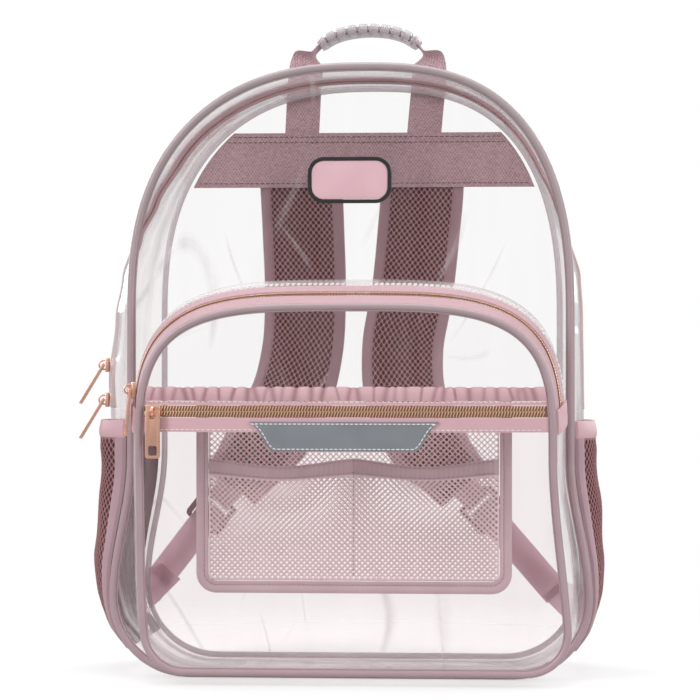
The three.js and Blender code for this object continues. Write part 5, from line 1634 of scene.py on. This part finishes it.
def add_handle():
    curve = handle_curve()
    points = curve.at(np.linspace(0, 1, 241))
    mesh_points, faces, cloth, length = webbing_sheet(points, handle_outward(points), HANDLE_WIDTH)
    made = piece("handle_webbing_cloth", mesh_points, faces, WEBBING_LOOK,
                 ["handle_webbing"], cloth)
    add_grip(curve)
    lines = []
    for side in (-1, 1):
        for z in (STRAP_TOP + 6, STRAP_TOP + 10, YOKE_TOP - 6, YOKE_TOP - 3):
            row = np.linspace(-10, 10, 12) + side * STRAP_SPACING + handle_lean(z)
            lines.append(np.stack([row, np.full(12, HANDLE_Y + WEBBING / 2), np.full(12, z)], -1))
        for dx in (-10, 10):
            column = np.linspace(STRAP_TOP + 6, YOKE_TOP - 3, 12)
            lines.append(np.stack([side * STRAP_SPACING + dx + handle_lean(column),
                                   np.full(12, HANDLE_Y + WEBBING / 2), column], -1))
    stitch_line("handle_bartacks", lines, (0, 1, 0), MAUVE_THREAD, 2.2, 2.8, 0.34)


GRIP_SLOTS = 9


def add_grip(curve):
    """A clear sleeve round the webbing, with narrow slots across its top."""
    shares = np.linspace(0.5 - GRIP_HALF, 0.5 + GRIP_HALF, 241)
    points = curve.at(shares)
    _, out, across = ribbon_frames(points, np.tile([0.0, 0.0, 1.0], (len(points), 1)))
    marks = np.concatenate([[0], np.cumsum(np.linalg.norm(np.diff(points, axis=0), axis=1))])
    step = marks[-1] / (GRIP_SLOTS + 0.6)
    nearest = np.abs((marks - marks[-1] / 2 + step / 2) % step - step / 2)
    groove = np.exp(-(nearest / 1.1) ** 4)
    ends = np.clip(np.minimum(marks, marks[-1] - marks) / 4, 0, 1) ** 0.5
    turn = np.linspace(0, TAU, 33)[:-1]

    def loop(half_width, half_height):
        wide = np.sign(np.cos(turn)) * np.abs(np.cos(turn)) ** 0.55 * half_width
        tall = np.sign(np.sin(turn)) * np.abs(np.sin(turn)) ** 0.75 * half_height
        return wide, tall

    wide, tall = loop(GRIP_WIDTH / 2, GRIP_THICKNESS / 2)
    upper = np.clip(np.sin(turn) * 3 + 0.6, 0, 1)
    sink = 1 - 0.42 * groove[:, None] * upper[None]
    swell = mix(0.8, 1.0, ends)[:, None]
    outer = (points[:, None] + across[:, None] * (wide * swell * mix(1.0, sink, 0.25))[..., None]
             + out[:, None] * (tall * swell * sink)[..., None])
    wide_in, tall_in = loop(HANDLE_WIDTH / 2 + GAP, WEBBING / 2 + GAP)
    inner = (points[:, None] + across[:, None] * wide_in[None, :, None]
             + out[:, None] * tall_in[None, :, None])
    made_points, faces = closed_sheet(np.swapaxes(outer, 0, 1), np.swapaxes(inner, 0, 1), ring=True)
    # Painted shade for the slots, kept as the cloth depth that the grip's look reads.
    dark = (groove[:, None] * np.clip(np.sin(turn) * 3 + 2.2, 0, 1)[None]).T.ravel()
    cloth = np.zeros((len(made_points), 3))
    cloth[:len(dark), 2] = dark
    piece("handle_grip_sleeve", made_points, faces, GRIP, ["handle_grip"], cloth)


# Shoulder straps

STRAP_ROWS = [
    {"drop": 0.0, "reach": 0.0, "left": 0.0, "right": 0.0},
    {"drop": 0.08, "reach": 0.02, "left": 0.0, "right": 0.0},
    {"drop": 0.22, "reach": 0.42, "left": 0.0, "right": -0.065},
    {"drop": 0.4, "reach": 0.82, "left": 0.0, "right": -0.165},
    {"drop": 0.58, "reach": 1.0, "left": 0.05, "right": -0.305},
    {"drop": 0.74, "reach": 0.95, "left": 0.23, "right": -0.25},
    {"drop": 0.88, "reach": 0.78, "left": 0.6, "right": 0.08},
    {"drop": 1.0, "reach": 0.56, "left": 1.0, "right": 0.55},
]


def strap_curve(side):
    word = "right" if side > 0 else "left"
    return Curve([(side * (STRAP_SPACING + STRAP_SPREAD * row[word]),
                   YOKE_FACE + STRAP_REACH * row["reach"],
                   STRAP_TOP - STRAP_DROP * row["drop"]) for row in STRAP_ROWS])


def ramp(share, low, high):
    return smooth(np.clip((share - low) / (high - low), 0, 1))


class Strap:
    """The padded strap on one side: reads points of its two faces by length and width."""

    def __init__(self, side):
        self.side = side
        self.shares = np.linspace(0, 1, 161)
        self.points = strap_curve(side).at(self.shares)
        backward = np.tile([0.0, 1.0, 0.0], (len(self.points), 1))
        _, self.out, self.across = ribbon_frames(self.points, backward)
        steps = np.linalg.norm(np.diff(self.points, axis=0), axis=1)
        self.marks = np.concatenate([[0], np.cumsum(steps)])
        self.length = float(self.marks[-1])

    def read(self, rows, v):
        return np.stack([np.interp(v, self.marks, rows[:, k]) for k in range(3)], -1)

    def width(self, v):
        return mix(STRAP_WIDTH, STRAP_END_WIDTH, ramp(np.interp(v, self.marks, self.shares), 0.8, 1))

    def thickness(self, v):
        share = np.interp(v, self.marks, self.shares)
        puffed = ramp(share, 0.06, 0.2) * (1 - 0.4 * ramp(share, 0.94, 1))
        return mix(SEWN_THICKNESS, STRAP_THICKNESS, puffed)

    def place(self, s, v, level, out=0.0):
        """s runs across from -1 to 1, level from -1 on the inner face to 1 on the outer one."""
        s, v, level, out = np.broadcast_arrays(s, np.asarray(v, float), level, out)
        thickness = self.thickness(v)
        puff = np.clip(1 - np.abs(s) ** 4, 0, 1) ** 0.5
        rise = thickness / 2 * (1 + level * mix(0.42, 1.0, puff)) + level * out
        return (self.read(self.points, v) + self.read(self.across, v) * (s * self.width(v) / 2)[..., None]
                + self.read(self.out, v) * rise[..., None])


def add_strap(side, word):
    strap = Strap(side)
    node = f"shoulder_strap_{word}"
    rows = np.linspace(0, strap.length, 121)
    s = np.linspace(-0.97, 0.97, 25)
    quilting = wrinkles(80 + side, 18, (-30, 20, 30, strap.length - 10), 14.0, 4.0, 0.5, 0, 25)
    v, across = np.meshgrid(rows, s, indexing="ij")
    dent = quilting(across * STRAP_WIDTH / 2, v) * np.clip(np.minimum(v, strap.length - v) / 20, 0, 1)
    outer = strap.place(across, v, 1.0, dent - 0.5)
    inner = strap.place(across, v, -1.0, -1.1)
    points, faces = closed_sheet(outer, inner)
    cloth = np.stack([(across * STRAP_WIDTH / 2).ravel(), v.ravel()], -1)
    pad = piece(f"{node}_pad", points, faces, PAD_CLOTH, [node], np.vstack([cloth, cloth]))
    add_strap_mesh(strap, node, pad)
    add_strap_binding(strap, node, pad)


def add_strap_mesh(strap, node, pad):
    """Air mesh on the face that lies against the wearer's shoulder side of the bag."""
    usable = STRAP_WIDTH - 2 * STRAP_BINDING + 3
    columns = round(usable / MESH_PITCH[0])
    margin = 3.0
    rows = round((strap.length - 2 * margin) / MESH_PITCH[1])
    pitch = (usable / columns, (strap.length - 2 * margin) / rows)
    share = usable / STRAP_WIDTH

    def place(u, v, out):
        return strap.place((2 * u / usable - 1) * share, v + margin, -1.0, out - 0.3)

    points, faces, cloth = net_sheet(place, columns, rows, pitch, 0.74, 1.4, 1.0)
    made = piece(f"{node}_air_mesh", points, faces, STRAP_MESH, (), cloth)
    made.parent = pad


def add_strap_binding(strap, node, pad):
    """Tape folded round each long edge of the strap, with two rows of stitches on each."""
    rows = np.linspace(0, strap.length, 121)
    reach = 2 * STRAP_BINDING / STRAP_WIDTH
    fold = np.linspace(-1, 1, 15)
    lines, outward = [], []
    for edge in (-1, 1):
        v, turn = np.meshgrid(rows, fold, indexing="ij")
        s = edge * (1 - reach * np.abs(turn) ** 1.6 * 1.0)
        level = np.sign(turn) * np.abs(turn) ** 0.35
        outer = strap.place(s, v, level, 0.75) + strap.read(strap.across, v) * (edge * 0.5)
        inner = strap.place(s * 0.985, v, level, -0.35)
        points, faces = closed_sheet(outer, inner)
        cloth = np.stack([v.ravel(), turn.ravel() * STRAP_BINDING], -1)
        word = "inner" if edge < 0 else "outer"
        made = piece(f"{node}_binding_{word}", points, faces, BINDING_LOOK, (),
                     np.vstack([cloth, cloth]))
        made.parent = pad
        for level_at in (-1.0, 1.0):
            at = edge * (1 - reach * 0.8)
            lines.append(strap.place(np.full_like(rows, at), rows, level_at, 0.8))
            outward.append(strap.read(strap.out, rows) * level_at)
    stitch_line(f"{node}_stitches", lines, outward, MAUVE_THREAD, 2.4, 3.4, 0.3)


LOOP_RADIUS = math.hypot(LOCK_BAR, LOCK_THICKNESS) / 2 + GAP + WEBBING / 2


class LockFrame:
    """The ladder lock's own frame: up along the strap and out of its face."""

    def __init__(self, side):
        curve = strap_curve(side)
        end = curve.point(1.0)
        down = unit_rows(end - curve.point(0.999))
        backward = np.array([0.0, 1.0, 0.0])
        self.up = -down
        self.out = unit_rows(backward - self.up * float(backward @ self.up))
        self.centre = end + down * LOCK_REACH + self.out * STRAP_THICKNESS / 3
        self.across = unit_rows(np.cross(self.up, self.out))

    def line(self, rows):
        """Points given as distance up the strap and distance out of its face."""
        return np.array([self.centre + self.up * s + self.out * n for s, n in rows])


def add_lock_webbing(side, word):
    lock = LockFrame(side)
    top_bar = (LOCK_HEIGHT - LOCK_BAR) / 2
    loop_end = LOCK_REACH - GAP
    turn = np.linspace(0, np.pi, 15)[1:-1]
    loop = [(loop_end, LOOP_RADIUS), (top_bar, LOOP_RADIUS)]
    loop += [(top_bar - LOOP_RADIUS * math.sin(t), LOOP_RADIUS * math.cos(t)) for t in turn]
    loop += [(top_bar, -LOOP_RADIUS), (loop_end, -LOOP_RADIUS)]
    add_lock_ribbon(f"lock_loop_{word}", lock, densified(loop))
    anchor_x, anchor_z = ANCHORS[word]
    anchor = np.array([side * anchor_x, BACK_Y + BINDING_RADIUS + 2 * GAP + WEBBING, anchor_z])
    drop = -float(np.linalg.norm(lock.centre - anchor))
    anchor_out = float((anchor - lock.centre) @ lock.out)
    tail_start = -LOCK_HEIGHT * 0.55
    rows = [(drop, anchor_out), (drop * 0.7, anchor_out * 0.75 - LOOP_RADIUS * 0.3),
            (drop * 0.42, -LOOP_RADIUS * 1.3), (-LOCK_BAR, -LOOP_RADIUS)]
    rows += [(LOOP_RADIUS * math.sin(t), -LOOP_RADIUS * math.cos(t)) for t in turn]
    rows += [(-LOCK_BAR, LOOP_RADIUS), (tail_start, LOOP_RADIUS * 1.05),
             (tail_start - TAIL_LENGTH * 0.35, LOOP_RADIUS * 1.8),
             (tail_start - TAIL_LENGTH * 0.7, LOOP_RADIUS * 1.6),
             (tail_start - TAIL_LENGTH, LOOP_RADIUS * 1.9)]
    add_lock_ribbon(f"lower_webbing_{word}", lock, densified(rows))


def densified(rows, step=2.0):
    """A rounded line through (up, out) rows with a point about every step."""
    curve = Curve([(a, b, 0.0) for a, b in rows])
    fine = curve.at(np.linspace(0, 1, 400))[:, :2]
    marks = np.concatenate([[0], np.cumsum(np.linalg.norm(np.diff(fine, axis=0), axis=1))])
    even = np.linspace(0, marks[-1], max(int(marks[-1] / step), 12))
    return np.stack([np.interp(even, marks, fine[:, k]) for k in range(2)], -1)


def add_lock_ribbon(node, lock, rows):
    points = lock.line(rows)
    ahead = np.gradient(rows, axis=0)
    normal = np.stack([-ahead[:, 1], ahead[:, 0]], -1)
    outward = lock.up * normal[:, :1] + lock.out * normal[:, 1:]
    mesh_points, faces, cloth, length = webbing_sheet(points, outward, LOWER_WEBBING_WIDTH)
    made = piece(f"{node}_cloth", mesh_points, faces, PAINTED_LIT_WEBBING, [node], cloth)


# CAD shapes with finer edges


def refined(node, look, body, bevel, segments=3):
    """A copy of a CAD node with merged faces and rounded edges, shown in its place."""
    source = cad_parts[node].data
    shape = bmesh.new()
    shape.from_mesh(source)
    bmesh.ops.remove_doubles(shape, verts=shape.verts, dist=0.01 * MM)
    bmesh.ops.dissolve_limit(shape, angle_limit=math.radians(2), verts=shape.verts, edges=shape.edges)
    sharp = [e for e in shape.edges if len(e.link_faces) == 2 and e.calc_face_angle() > math.radians(35)]
    bmesh.ops.bevel(shape, geom=sharp, offset=bevel * MM, segments=segments, profile=0.5,
                    affect="EDGES", clamp_overlap=True)
    mesh = bpy.data.meshes.new(f"{node}_finish")
    shape.to_mesh(mesh)
    shape.free()
    mesh.polygons.foreach_set("use_smooth", [True] * len(mesh.polygons))
    mesh.set_sharp_from_angle(angle=math.radians(50))
    mesh.materials.append(look)
    made = bpy.data.objects.new(f"{node}_finish", mesh)
    bpy.context.scene.collection.objects.link(made)
    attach(made, body)
    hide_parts(node)
    return made


def add_hardware():
    for name in ("main_zip_upper", "main_zip_lower", "pocket_zip", "window_zip"):
        refined(f"{name}_slider", ROSE_GOLD, "bag", 0.35)
        refined(f"{name}_pull", ROSE_GOLD, f"{name}_pull", 0.4)
    for word in ("left", "right"):
        refined(f"ladder_lock_{word}", PLASTIC, "bag", 0.7)
        refined(f"anchor_tab_{word}", PAINTED_LIT_WEBBING, "bag", 0.2)


# Seams on the pocket


def add_pocket_seams():
    shares = arch_shares(POCKET_FRONT, POCKET_ZIP_END + 10, 300)
    lines, outward = [], []
    for y, out in ((POCKET_TAPE_END + 1.4, VINYL / 2), (POCKET_TAPE_END + 4.2, VINYL / 2)):
        line = pocket_wall(shares, y, out)
        lines.append(line)
        outward.append(pocket_wall(shares, y, out + 1) - line)
    stitch_line("pocket_top_stitches", lines, outward, WHITE_THREAD, 2.8, 3.8, 0.42)
    half = POCKET_FRONT.half_width_at(TAPE_HIGH) - POCKET_PIPING_RADIUS - 3
    x = np.linspace(-half, half, 120)
    rows = []
    for z, lift in ((TAPE_HIGH - 0.8, 0.6), (LOWER_TAPE_LOW + 1.5, 0.6)):
        z = np.full_like(x, z)
        rows.append(np.stack([x, dome(x, z) - lift, z], -1))
    stitch_line("pocket_front_stitches", rows, (0, -1, 0), WHITE_THREAD, 2.4, 3.6, 0.3)


def add_floor():
    radius, count = 0.6, 64
    turns = np.linspace(0, TAU, count + 1)[:-1]
    mesh = bpy.data.meshes.new("floor")
    mesh.from_pydata([(radius * math.cos(t), radius * math.sin(t), 0.0) for t in turns], [],
                     [list(range(count))])
    mesh.materials.append(floor_look())
    floor = bpy.data.objects.new("floor", mesh)
    bpy.context.scene.collection.objects.link(floor)


def main():
    scene = bpy.context.scene
    scene.view_settings.view_transform = "Standard"
    scene.cycles.transparent_max_bounces = 40
    scene.cycles.max_bounces = 10
    add_camera()
    add_lights()
    add_world()
    add_panels()
    add_piping()
    add_gussets()
    add_main_zip()
    add_pocket_walls()
    add_zip_ends()
    add_windows()
    add_pocket_bands()
    add_patch()
    add_badge()
    add_organizer_binding()
    add_organizer()
    add_pouch()
    add_side_pockets()
    add_yoke()
    add_handle()
    for side, word in ((-1, "left"), (1, "right")):
        add_strap(side, word)
        add_lock_webbing(side, word)
    add_hardware()
    add_pocket_seams()
    add_floor()


main()
